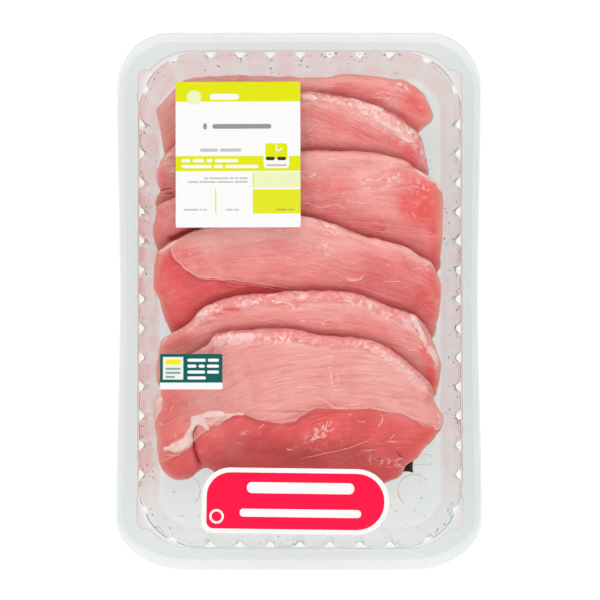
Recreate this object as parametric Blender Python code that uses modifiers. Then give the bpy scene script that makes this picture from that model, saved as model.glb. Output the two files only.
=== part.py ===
"""Meat tray pack: a clear thermoformed tray with a sealed film lid, six shingled slices of pork leg on an
absorbent pad, and three plain labels on the film.

Frame: metres, +Z up, origin at the centre of the base, +Y along the tray's length, towards the end with
the large label.
"""
import math

import bmesh
import bpy
from mathutils import Vector

MM = 0.001
GAP = 0.3 * MM                      # kept between pieces that touch

# Tray, measured on its inner and upper faces
RIM_Z = 58.0 * MM
HALF_WIDTH = 90.3 * MM              # over the lip at the round corners
HALF_LENGTH = 133.0 * MM
SIDE_BOW = 1.6 * MM                 # the long sides are pulled in this much at mid-length
BOW_REACH = 108.5 * MM              # from mid-length to where the bow ends
SHEET = 0.8 * MM
LIP_DROP = 5.0 * MM
LIP_FLARE = 1.6 * MM
UPPER_CORNER = (27.2 * MM, 27.2 * MM)
LOWER_CORNER = (36.0 * MM, 25.5 * MM)

CAVITY_HALF_WIDTH = 79.7 * MM
CAVITY_HALF_LENGTH = 122.5 * MM
CAVITY_RADIUS = 25.6 * MM
CAVITY_CENTRE = (0.5 * MM, 0.6 * MM)    # the left and near flanges are a little wider than the others
STEP_DEPTH = 2.8 * MM               # from the rim down to the ledge under it
STEP_DRAFT = 0.4 * MM
LEDGE = 2.2 * MM
LEDGE_FALL = 0.4 * MM
WALL_FOOT_Z = 5.0 * MM
WALL_DRAFT = math.radians(5.6)
FLOOR_FILLET = 3.2 * MM

LONG_SIDE_RIBS = 13
LONG_SIDE_PITCH = 14.42 * MM
SHORT_SIDE_RIBS = 7
SHORT_SIDE_PITCH = 14.8 * MM
RIB_HALF_WIDTH = 2.6 * MM
RIB_RISE = 1.7 * MM                 # how far a rib stands into the cavity
CORNER_RIB_ANGLES = (17.0, 68.0)    # degrees round a corner, from the long side
CORNER_RIB_HALF_ANGLE = 5.7
CORNER_FILL_ANGLES = (0.0, 29.0, 34.0, 38.5, 42.0, 46.0, 54.0, 82.0)

# Ear pocket in the ledge beside each corner, from the corner arc's centre
EAR_REACH = 26.0 * MM               # along X
EAR_TOP = 16.4 * MM                 # along Y
EAR_END_ANGLE = 42.0

# Film lid, sealed on the flange
FILM_THICKNESS = 0.4 * MM
FILM_SIDE_INSET = 1.4 * MM
FILM_END_INSET = 5.2 * MM

# Absorbent pad
PAD_SIZE = (118.0 * MM, 158.0 * MM)
PAD_CENTRE = (2.4 * MM, -7.4 * MM)
PAD_TURN = -1.6                     # degrees
PAD_THICKNESS = 1.8 * MM
PAD_Z = 2.2 * MM
PAD_RADIUS = 3.0 * MM

# Slices, numbered from the far end, each lying on the one before
SLICE_BASE_Z = PAD_Z + PAD_THICKNESS + GAP
SLICE_SLOPE = 0.46                  # rise towards +Y
SLICE_PITCH = 29.4 * MM
FIRST_LOW_Y = 57.0 * MM             # where the first slice's underside leaves the pad
SLICE_THICKNESS = 13.0 * MM         # measured upright, so 11.8 mm through the meat
RING_POINTS = 56
EDGE_ANGLES = (90, 48, 0)           # degrees round a slice's rounded edge, from its face to its outline

# Outlines seen from above, in millimetres, clockwise from the left end
SLICE_OUTLINES = (
    ((-70.5, 87), (-72.3, 96.8), (-69.2, 100.8), (-60.5, 109.5), (-54.1, 112.3), (-43.5, 113.3),
     (-29.4, 113.8), (-10, 113.4), (12.6, 112.9), (21.7, 114.3), (34.5, 113.7), (47.9, 112), (53.4, 111.3),
     (62, 106.1), (64.6, 102.1), (67.6, 96.8), (67.4, 91.6), (61, 85.5), (56, 70), (46, 59), (15, 51.5),
     (-30, 51.5), (-58, 58), (-67.5, 70)),
    ((-73, 48.5), (-72.7, 52.7), (-70.7, 56.4), (-72, 59.5), (-72.4, 64.3), (-71.4, 68.4), (-69.2, 72.2),
     (-61.9, 79.3), (-45, 91), (-25, 99), (0.5, 104.1), (15.6, 103), (26.4, 101.3), (42.8, 96.4),
     (53.8, 89.5), (61.9, 81.5), (65.3, 68.7), (65.4, 61), (63, 50), (52, 36), (22, 24), (-10, 22),
     (-42, 25), (-66, 36)),
    ((-73.4, 31.2), (-73.9, 37.3), (-72.5, 43.5), (-72.1, 47.3), (-69, 49.7), (-62.2, 52.3), (-45, 61),
     (-25, 69.5), (1.1, 74.7), (26, 74.7), (38.7, 73.9), (46.3, 72.2), (54, 69.8), (57.6, 66.6),
     (63.8, 63.4), (68.5, 60.2), (71.7, 56), (72.7, 51.3), (72.8, 32.9), (72.6, 25.3), (71.3, 16.1),
     (64, 6), (46, -4), (15, -8), (-20, -8), (-52, -1), (-68, 14)),
    ((-70.8, 0.9), (-73.5, 6), (-73.7, 10.5), (-73.2, 15.6), (-72.5, 20.6), (-71.1, 24.9), (-63.3, 30.1),
     (-54, 34.6), (-48.9, 36.5), (-35, 40.5), (-17, 43.6), (1.1, 42.6), (10.8, 40.6), (19.9, 37.7),
     (28.6, 34.2), (44, 30.2), (51.7, 28.2), (59.4, 24.1), (67.3, 19.1), (71.6, 9.5), (72.3, 3),
     (71.5, -4.4), (68.8, -17.8), (62, -25), (44, -33), (10, -38), (-28, -37), (-55, -29), (-67, -12)),
    ((-71.2, -42.7), (-72.5, -38), (-72.3, -31.3), (-70.5, -22.2), (-69, -18.9), (-61.1, -14),
     (-54.9, -10.2), (-49.1, -3.4), (-44, -0.8), (-28.6, 3.2), (-5.6, 5), (12.3, 5.5), (24, 4.9),
     (32.2, 2.9), (41.5, -0.8), (50.7, -4.1), (60.5, -7.9), (64.8, -13.9), (68, -20), (71.4, -28.8),
     (72.3, -35), (70.8, -43.8), (68.8, -49.1), (58, -61), (24, -68), (-15, -69), (-47, -64), (-65, -53)),
    ((-72.4, -75.5), (-72.5, -69.6), (-73.2, -63.1), (-73.7, -53.8), (-72.5, -48.1), (-65, -38),
     (-53.6, -26.1), (-45.8, -21.6), (-42.7, -17.3), (-38.6, -15.5), (-25.4, -14.2), (-4.5, -13.7),
     (12.3, -17.1), (32.1, -18.6), (46.5, -24.2), (58.4, -33.6), (66.3, -41.6), (68.5, -50), (71.3, -54.8),
     (73.2, -58.5), (73.1, -62.7), (68.7, -69.6), (64, -74.8), (60.1, -80.1), (55, -83.2), (52.4, -88.5),
     (44.5, -92.7), (30, -96), (-8, -96.5), (-34, -92), (-45.1, -85.7), (-49.4, -85.1), (-55.9, -90.1),
     (-60.3, -91.2), (-65.3, -90.1), (-68.8, -87.2), (-71.5, -82)),
)

# Labels on the film: centre, size, turn in degrees, corner radii (left, right)
LABEL_THICKNESS = 0.2 * MM
LABELS = {
    "label_large": ((-30.0, 71.6), (61.4, 71.8), 0.15, (0.9, 0.9)),
    "label_small": ((-52.9, -35.2), (30.7, 17.4), 0.0, (0.6, 0.6)),
    "label_offer": ((-1.7, -98.7), (91.9, 32.2), -0.75, (9.0, 15.6)),
}


def clear_scene():
    for old in list(bpy.data.objects):
        bpy.data.objects.remove(old, do_unlink=True)


def collection_named(name):
    made = bpy.data.collections.new(name)
    bpy.context.scene.collection.children.link(made)
    return made


def plastic_or_food(name, colour, roughness, alpha=1.0):
    """A Principled material with the piece's colour and roughness; nothing here is metal."""
    made = bpy.data.materials.new(name)
    made.use_nodes = True
    shader = made.node_tree.nodes["Principled BSDF"]
    shader.inputs["Base Color"].default_value = (*colour, 1.0)
    shader.inputs["Roughness"].default_value = roughness
    shader.inputs["Metallic"].default_value = 0.0
    shader.inputs["Alpha"].default_value = alpha
    return made


def mesh_object(bm, name, material, smooth_below=None):
    """Puts a bmesh into a named object in the pack's collection."""
    bmesh.ops.recalc_face_normals(bm, faces=bm.faces)
    mesh = bpy.data.meshes.new(name)
    bm.to_mesh(mesh)
    bm.free()
    if smooth_below is not None:
        mesh.shade_smooth()
        mesh.set_sharp_from_angle(angle=math.radians(smooth_below))
    mesh.materials.append(material)
    made = bpy.data.objects.new(name, mesh)
    PACK.objects.link(made)
    return made


def loft(bm, rings):
    """Joins closed rings of equal length with quads and returns their vertices, ring by ring."""
    rows = [[bm.verts.new(point) for point in ring] for ring in rings]
    for row, following in zip(rows, rows[1:]):
        for i, vertex in enumerate(row):
            j = (i + 1) % len(row)
            bm.faces.new((vertex, row[j], following[j], following[i]))
    return rows


def smooth_loop(points, count):
    """Evenly spaced points on the closed Catmull-Rom curve through the given points."""
    steps = 12
    fine = []
    for i in range(len(points)):
        p0, p1, p2, p3 = (Vector(points[(i + k - 1) % len(points)]) for k in range(4))
        for step in range(steps):
            t = step / steps
            fine.append(0.5 * (2 * p1 + (p2 - p0) * t + (2 * p0 - 5 * p1 + 4 * p2 - p3) * t ** 2
                               + (3 * p1 - p0 - 3 * p2 + p3) * t ** 3))
    lengths = [0.0]
    for a, b in zip(fine, fine[1:] + fine[:1]):
        lengths.append(lengths[-1] + (b - a).length)
    even = []
    k = 0
    for i in range(count):
        wanted = lengths[-1] * i / count
        while lengths[k + 1] < wanted:
            k += 1
        share = (wanted - lengths[k]) / (lengths[k + 1] - lengths[k])
        even.append(fine[k].lerp(fine[(k + 1) % len(fine)], share))
    return even


def column_stations():
    """The columns of the tray wall, once round: (side, place along it or angle, rib share 0 to 1)."""
    def ribbed(count, pitch):
        places = []
        for i in range(count):
            centre = (i - (count - 1) / 2) * pitch
            places += [(centre - RIB_HALF_WIDTH, 0.0), (centre, 1.0), (centre + RIB_HALF_WIDTH, 0.0)]
        return places

    corner = [(angle, 0.0) for angle in CORNER_FILL_ANGLES]
    for centre in CORNER_RIB_ANGLES:
        half = CORNER_RIB_HALF_ANGLE
        corner += [(centre - half, 0.0), (centre, 1.0), (centre + half, 0.0)]
    corner.sort()
    long_side = ribbed(LONG_SIDE_RIBS, LONG_SIDE_PITCH)
    short_side = ribbed(SHORT_SIDE_RIBS, SHORT_SIDE_PITCH)

    stations = [("right", y, rib) for y, rib in long_side]
    stations += [("corner", (1, 1, angle), rib) for angle, rib in corner]
    stations += [("top", -x, rib) for x, rib in short_side]
    stations += [("corner", (-1, 1, angle), rib) for angle, rib in reversed(corner)]
    stations += [("left", -y, rib) for y, rib in long_side]
    stations += [("corner", (-1, -1, angle), rib) for angle, rib in corner]
    stations += [("bottom", x, rib) for x, rib in short_side]
    stations += [("corner", (1, -1, angle), rib) for angle, rib in reversed(corner)]
    return stations


def cavity_point(station, inset, ear=False):
    """A point on the cavity's outline, moved inwards; the ear pockets widen it beside the corners."""
    side, place, _ = station
    cx, cy = CAVITY_CENTRE
    if side == "corner":
        sx, sy, degrees = place
        angle = math.radians(degrees)
        radius = CAVITY_RADIUS - inset
        if ear and 0.0 < degrees < EAR_END_ANGLE:
            radius = min(EAR_REACH / math.cos(angle), EAR_TOP / math.sin(angle)) - inset
        return (cx + sx * (CAVITY_HALF_WIDTH - CAVITY_RADIUS + radius * math.cos(angle)),
                cy + sy * (CAVITY_HALF_LENGTH - CAVITY_RADIUS + radius * math.sin(angle)))
    if side in ("left", "right"):
        return (cx + (1 if side == "right" else -1) * (CAVITY_HALF_WIDTH - inset), cy + place)
    return (cx + place, cy + (1 if side == "top" else -1) * (CAVITY_HALF_LENGTH - inset))


def flange_point(station, side_inset, end_inset):
    """A point on the lip's outline, moved inwards; its long sides bow in between the corners."""
    side, place, _ = station

    def half_width(y):
        share = min(1.0, abs(y) / BOW_REACH)
        return HALF_WIDTH - SIDE_BOW * math.cos(share * math.pi / 2) ** 2

    if side == "corner":
        sx, sy, degrees = place
        rx, ry = UPPER_CORNER if sy > 0 else LOWER_CORNER
        angle = math.radians(degrees)
        share = math.sin(angle)
        cx = HALF_WIDTH - rx
        cy = HALF_LENGTH - ry
        return (sx * (cx + (rx - side_inset - (end_inset - side_inset) * share) * math.cos(angle)),
                sy * (cy + (ry - end_inset) * math.sin(angle)))
    if side in ("left", "right"):
        return ((1 if side == "right" else -1) * (half_width(place) - side_inset), place)
    return (place, (1 if side == "top" else -1) * (HALF_LENGTH - end_inset))


def make_tray():
    """One thin sheet: lip, flange, step, ledge, ribbed wall, fillet and floor, then its thickness."""
    stations = column_stations()
    drop = RIM_Z - STEP_DEPTH - WALL_FOOT_Z
    foot_inset = drop * math.tan(WALL_DRAFT)
    floor_z = SHEET

    def ring(place, z):
        return [(*place(station), z) for station in stations]

    def wall_inset(station):
        ledge = LEDGE if station[0] == "corner" else LEDGE - RIB_RISE
        return ledge + RIB_RISE * station[2]

    rings = [
        ring(lambda s: flange_point(s, 0.0, 0.0), RIM_Z - LIP_DROP),
        ring(lambda s: flange_point(s, LIP_FLARE, LIP_FLARE), RIM_Z),
        ring(lambda s: cavity_point(s, 0.0, ear=True), RIM_Z),
        ring(lambda s: cavity_point(s, STEP_DRAFT, ear=True), RIM_Z - STEP_DEPTH),
        ring(lambda s: cavity_point(s, wall_inset(s)), RIM_Z - STEP_DEPTH - LEDGE_FALL),
        ring(lambda s: cavity_point(s, wall_inset(s) + foot_inset), WALL_FOOT_Z),
        ring(lambda s: cavity_point(s, LEDGE + foot_inset + FLOOR_FILLET), floor_z),
    ]
    bm = bmesh.new()
    rows = loft(bm, rings)
    bm.faces.new(rows[-1])
    tray = mesh_object(bm, "tray", clear_plastic, smooth_below=40)
    thickness = tray.modifiers.new("sheet", "SOLIDIFY")
    thickness.thickness = SHEET
    thickness.offset = -1.0
    thickness.use_even_offset = True
    return tray


def flat_sheet(name, outline, z, thickness, material):
    """A flat closed outline as a 2D curve, filled and given its thickness."""
    curve = bpy.data.curves.new(name, "CURVE")
    curve.dimensions = "2D"
    curve.fill_mode = "BOTH"
    curve.extrude = thickness / 2
    spline = curve.splines.new("POLY")
    spline.points.add(len(outline) - 1)
    for point, (x, y) in zip(spline.points, outline):
        point.co = (x, y, 0.0, 1.0)
    spline.use_cyclic_u = True
    curve.materials.append(material)
    made = bpy.data.objects.new(name, curve)
    made.location.z = z + thickness / 2
    PACK.objects.link(made)
    return made


def rounded_rectangle(width, length, left_radius, right_radius, steps=6):
    """Outline of a rectangle about the origin, with a radius for its left and one for its right corners."""
    outline = []
    for sx, sy, start in ((1, 1, 0), (-1, 1, 90), (-1, -1, 180), (1, -1, 270)):
        radius = right_radius if sx > 0 else left_radius
        for step in range(steps + 1):
            angle = math.radians(start + 90 * step / steps)
            outline.append((sx * (width / 2 - radius) + radius * math.cos(angle),
                            sy * (length / 2 - radius) + radius * math.sin(angle)))
    return outline


def make_film():
    outline = [flange_point(station, FILM_SIDE_INSET, FILM_END_INSET)
               for station in column_stations()[::2]]
    return flat_sheet("film", outline, RIM_Z + GAP, FILM_THICKNESS, clear_film)


def make_labels():
    z = RIM_Z + GAP + FILM_THICKNESS + GAP
    for name, ((cx, cy), (width, length), turn, (left, right)) in LABELS.items():
        outline = rounded_rectangle(width * MM, length * MM, left * MM, right * MM)
        label = flat_sheet(name, outline, z, LABEL_THICKNESS, label_materials[name])
        label.location.x = cx * MM
        label.location.y = cy * MM
        label.rotation_euler.z = math.radians(turn)


def make_pad():
    outline = rounded_rectangle(*PAD_SIZE, PAD_RADIUS, PAD_RADIUS)
    pad = flat_sheet("absorbent_pad", outline, PAD_Z, PAD_THICKNESS, pad_fibre)
    pad.location.x, pad.location.y = PAD_CENTRE
    pad.rotation_euler.z = math.radians(PAD_TURN)


def make_slice(number, outline_mm):
    """A slab with rounded edges, sloping up towards +Y over the slice before it."""
    low_y = FIRST_LOW_Y - (number - 1) * SLICE_PITCH
    half = SLICE_THICKNESS / 2

    def middle(y):
        return SLICE_BASE_Z + half + SLICE_SLOPE * (y - low_y)

    outline = smooth_loop([(x * MM, y * MM) for x, y in outline_mm], RING_POINTS)
    ys = [point.y for point in outline]
    spine_y = (min(ys) + max(ys)) / 2
    xs = [point.x for point in outline]
    spine_half = (max(xs) - min(xs) - (max(ys) - min(ys))) / 2

    def ring(inset, lift):
        points = []
        for point in outline:
            target = Vector((max(-spine_half, min(spine_half, point.x)), spine_y))
            moved = point + (target - point).normalized() * inset
            points.append((moved.x, moved.y, max(middle(moved.y) + lift, SLICE_BASE_Z)))
        return points

    edge = []
    for degrees in EDGE_ANGLES:
        angle = math.radians(degrees)
        edge.append((half * (1 - math.cos(angle)), half * math.sin(angle)))
    top = [ring(inset, lift) for inset, lift in edge]
    bottom = [ring(inset, -lift) for inset, lift in reversed(edge[:-1])]
    bm = bmesh.new()
    rows = loft(bm, top + bottom)
    bm.faces.new(rows[0])
    bm.faces.new(rows[-1])
    bmesh.ops.triangulate(bm, faces=[face for face in bm.faces if len(face.verts) > 4])
    mesh_object(bm, f"pork_slice_{number}", pork, smooth_below=50)


clear_scene()
PACK = collection_named("meat_tray_pack")
clear_plastic = plastic_or_food("clear_tray_plastic", (0.86, 0.88, 0.87), 0.08, alpha=0.35)
clear_film = plastic_or_food("clear_lid_film", (0.95, 0.96, 0.96), 0.04, alpha=0.15)
pork = plastic_or_food("raw_pork", (0.80, 0.33, 0.31), 0.35)
pad_fibre = plastic_or_food("soaked_pad", (0.03, 0.014, 0.011), 0.7)
label_materials = {
    "label_large": plastic_or_food("white_label", (0.95, 0.95, 0.90), 0.45),
    "label_small": plastic_or_food("teal_label", (0.006, 0.12, 0.11), 0.4),
    "label_offer": plastic_or_food("red_label", (0.93, 0.012, 0.05), 0.4),
}
make_tray()
make_pad()
for slice_number, slice_outline in enumerate(SLICE_OUTLINES, start=1):
    make_slice(slice_number, slice_outline)
make_film()
make_labels()
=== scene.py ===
import math
import random

import bmesh
import bpy
import numpy as np
from mathutils import Matrix, Vector, noise
from mathutils.bvhtree import BVHTree


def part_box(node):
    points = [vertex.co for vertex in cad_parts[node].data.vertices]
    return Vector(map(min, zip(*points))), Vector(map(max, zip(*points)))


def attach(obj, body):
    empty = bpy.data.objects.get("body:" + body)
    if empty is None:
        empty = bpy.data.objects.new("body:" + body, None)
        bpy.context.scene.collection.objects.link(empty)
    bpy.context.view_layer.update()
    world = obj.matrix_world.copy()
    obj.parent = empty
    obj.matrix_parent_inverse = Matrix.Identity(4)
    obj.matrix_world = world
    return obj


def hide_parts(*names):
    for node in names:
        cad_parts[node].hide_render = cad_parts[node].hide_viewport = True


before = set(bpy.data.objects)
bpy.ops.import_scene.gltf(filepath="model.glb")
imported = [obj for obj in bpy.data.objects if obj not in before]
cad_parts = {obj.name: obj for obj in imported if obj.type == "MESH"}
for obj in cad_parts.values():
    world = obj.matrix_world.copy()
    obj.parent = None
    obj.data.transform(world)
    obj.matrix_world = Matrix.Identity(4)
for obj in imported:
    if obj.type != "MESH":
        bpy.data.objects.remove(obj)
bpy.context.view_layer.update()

# Tray
# One sheet of clear plastic drawn by heat and vacuum into a mould: a turned-down lip, a flange to seal
# the lid on, a narrow ledge with ear pockets at the corners, ribbed walls and a floor with bars and feet.
MM = 0.001
RIM_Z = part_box("film")[0].z - 0.3 * MM
HALF_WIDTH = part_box("tray")[1].x
HALF_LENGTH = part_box("tray")[1].y
SHEET = 0.28 * MM
SIDE_BOW = 1.6 * MM
BOW_REACH = 108.5 * MM
UPPER_CORNER = (27.2 * MM, 27.2 * MM)
LOWER_CORNER = (36.0 * MM, 25.5 * MM)

CAVITY_HALF_WIDTH = 79.7 * MM
CAVITY_HALF_LENGTH = 122.5 * MM
CAVITY_CENTRE = (0.5 * MM, 0.6 * MM)
CAVITY_RADIUS = 25.6 * MM
STEP_DEPTH = 2.8 * MM
LEDGE = 2.2 * MM
WALL_STEP = 0.6 * MM
TOP_INSET = 0.36 * MM
LUG_RISE = 1.9 * MM
RIB_RISE = 1.25 * MM
WALL_FOOT_Z = 5.0 * MM
WALL_SLANT = math.tan(math.radians(5.6))
EAR_REACH = 26.0 * MM
EAR_TOP = 16.4 * MM
EAR_END = math.radians(42.0)
LONG_SIDE_RIBS = (13, 14.42 * MM)
SHORT_SIDE_RIBS = (7, 14.8 * MM)
CORNER_RIBS = (math.radians(17.0), math.radians(68.0))

FLOOR_Z = 0.55 * MM
PANEL_RISE = 0.75 * MM
BAR_RISE = 0.4 * MM
BAR_PITCH = 19.05 * MM
BAR_HALF_WIDTH = 2.7 * MM
BAR_REACH = 68.5 * MM
FIRST_BAR_Y = -80.9 * MM
FOOT_CENTRE = (59.3 * MM, 96.8 * MM)
FOOT_RADIUS = 8.2 * MM


def smooth_step(low, high, value):
    share = min(1.0, max(0.0, (value - low) / (high - low)))
    return share * share * (3 - 2 * share)


def wall_columns(coarse=False):
    """Columns once round the tray: (side, place along it or corner and angle, distance to nearest rib)."""
    beside = (-3.6, 0.0, 3.6)
    if not coarse:
        beside = (-5.2, -3.9, -3.1, -2.3, -1.5, -0.7, 0.0, 0.7, 1.5, 2.3, 3.1, 3.9, 5.2)

    def straight(ribs, side, half, sign):
        count, pitch = ribs
        places = [(i - (count - 1) / 2) * pitch + offset * MM for i in range(count) for offset in beside]
        places = [-half] + [place for place in places if abs(place) < half]
        made = [(side, place, min(abs(place - (i - (count - 1) / 2) * pitch) for i in range(count)))
                for place in places]
        return made if sign > 0 else [(side, -place, away) for side, place, away in made]

    def corner(sx, sy, backwards):
        count = 12 if coarse else 36
        made = []
        for i in range(count):
            angle = math.pi / 2 * i / count
            if backwards:
                angle = math.pi / 2 - angle
            away = min(abs(angle - rib) for rib in CORNER_RIBS) * CAVITY_RADIUS
            made.append(("corner", (sx, sy, angle), away))
        return made

    half_long = CAVITY_HALF_LENGTH - CAVITY_RADIUS
    half_short = CAVITY_HALF_WIDTH - CAVITY_RADIUS
    return (straight(LONG_SIDE_RIBS, "right", half_long, 1) + corner(1, 1, False)
            + straight(SHORT_SIDE_RIBS, "top", half_short, -1) + corner(-1, 1, True)
            + straight(LONG_SIDE_RIBS, "left", half_long, -1) + corner(-1, -1, False)
            + straight(SHORT_SIDE_RIBS, "bottom", half_short, 1) + corner(1, -1, True))


def cavity_point(column, inset, ear=False):
    """The place of a column on the cavity's outline or inside it, with or without the corner pockets."""
    side, place, _ = column
    cx, cy = CAVITY_CENTRE
    if side == "corner":
        sx, sy, angle = place
        radius = CAVITY_RADIUS - inset
        if ear and 0.0 < angle < EAR_END:
            # a soft minimum rounds the pocket's own corner
            a = EAR_REACH / math.cos(angle)
            b = EAR_TOP / math.sin(angle)
            radius = max(radius, (a ** -14 + b ** -14) ** (-1 / 14) - inset)
        return (cx + sx * (CAVITY_HALF_WIDTH - CAVITY_RADIUS + radius * math.cos(angle)),
                cy + sy * (CAVITY_HALF_LENGTH - CAVITY_RADIUS + radius * math.sin(angle)))
    if side in ("left", "right"):
        return (cx + (1 if side == "right" else -1) * (CAVITY_HALF_WIDTH - inset), cy + place)
    return (cx + place, cy + (1 if side == "top" else -1) * (CAVITY_HALF_LENGTH - inset))


def flange_point(column, side_inset, end_inset):
    """The place of a column inside the lip's outline, whose long sides are bowed in."""
    side, place, _ = column
    if side == "corner":
        sx, sy, angle = place
        rx, ry = UPPER_CORNER if sy > 0 else LOWER_CORNER
        inset = side_inset + (end_inset - side_inset) * math.sin(angle)
        return (sx * (HALF_WIDTH - rx + (rx - inset) * math.cos(angle)),
                sy * (HALF_LENGTH - ry + (ry - end_inset) * math.sin(angle)))
    if side in ("left", "right"):
        share = min(1.0, abs(place) / BOW_REACH)
        half = HALF_WIDTH - SIDE_BOW * math.cos(share * math.pi / 2) ** 2
        return ((1 if side == "right" else -1) * (half - side_inset), place)
    return (place, (1 if side == "top" else -1) * (HALF_LENGTH - end_inset))


def foot_distance(x, y):
    """How far inside a corner foot's outline a point lies: a circle that widens towards the corner."""
    dx = abs(x) - FOOT_CENTRE[0]
    dy = abs(y) - FOOT_CENTRE[1]
    along = (dx + dy) / math.sqrt(2)
    across = abs(dx - dy) / math.sqrt(2)
    return FOOT_RADIUS + max(0.0, along) * 0.5 - math.hypot(across, min(0.0, along))


def floor_height(x, y):
    """The floor's upper face: round feet at the corners, a raised panel between them, low bars across it."""
    foot = smooth_step(-0.6 * MM, 0.6 * MM, foot_distance(x, y))
    nearest = round((y - FIRST_BAR_Y) / BAR_PITCH)
    from_bar = abs(y - FIRST_BAR_Y - nearest * BAR_PITCH)
    bar = 1 - smooth_step(BAR_HALF_WIDTH - 0.5 * MM, BAR_HALF_WIDTH + 0.3 * MM, from_bar)
    bar *= 1 - smooth_step(BAR_REACH - 1.0 * MM, BAR_REACH, abs(x))
    bar *= 1 - smooth_step(88.0 * MM, 90.0 * MM, abs(y))
    return FLOOR_Z + (PANEL_RISE + BAR_RISE * bar) * (1 - foot)


def join_rows(bm, rows, cap_first=True):
    """Faces between closed rows of equal length; the last row is filled, and the first if wanted."""
    for row, following in zip(rows, rows[1:]):
        for i, vertex in enumerate(row):
            j = (i + 1) % len(row)
            bm.faces.new((vertex, row[j], following[j], following[i]))
    if cap_first:
        bm.faces.new(list(reversed(rows[0])))
    bm.faces.new(rows[-1])


def finished_mesh(name, bm, smooth=True):
    mesh = bpy.data.meshes.new(name)
    bm.to_mesh(mesh)
    bm.free()
    if smooth:
        mesh.shade_smooth()
    return mesh


def rings_mesh(name, rings, cap_first=False):
    """A mesh lofted through closed rings of equal length."""
    bm = bmesh.new()
    join_rows(bm, [[bm.verts.new(point) for point in ring] for ring in rings], cap_first)
    return finished_mesh(name, bm)


def placed(name, mesh, *materials):
    """Puts a mesh into the scene as a piece of the pack."""
    made = bpy.data.objects.new(name, mesh)
    bpy.context.scene.collection.objects.link(made)
    for material in materials:
        mesh.materials.append(material)
    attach(made, "root")
    return made


def point_values(mesh, name, values):
    """Keeps one number for each point of a mesh, for its material to read."""
    layer = mesh.attributes.new(name, "FLOAT", "POINT")
    layer.data.foreach_set("value", np.asarray(values, np.float32).ravel())


def wall_inset(column, drop):
    """The wall's distance from the cavity's outline at a drop below the rim; each rib starts in a lug."""
    flat, rise = WALL_STEP, 1.0
    if column[0] == "corner":
        flat += (LEDGE - WALL_STEP) * min(1.0, 1.7 * math.sin(2 * column[1][2]))
        rise = 0.5
    rib = 1 - smooth_step(0.6 * MM, 3.0 * MM, column[2])
    lug = LUG_RISE * smooth_step(2.8 * MM, 6.8 * MM, drop)
    lug -= (LUG_RISE - RIB_RISE) * smooth_step(7 * MM, 35 * MM, drop)
    inset = TOP_INSET + (flat - TOP_INSET) * smooth_step(2.2 * MM, 3.2 * MM, drop) + rise * rib * lug
    at_foot = smooth_step(18 * MM, 52 * MM, drop)
    return inset + (LEDGE - inset) * at_foot + max(0.0, drop - STEP_DEPTH) * WALL_SLANT


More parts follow.
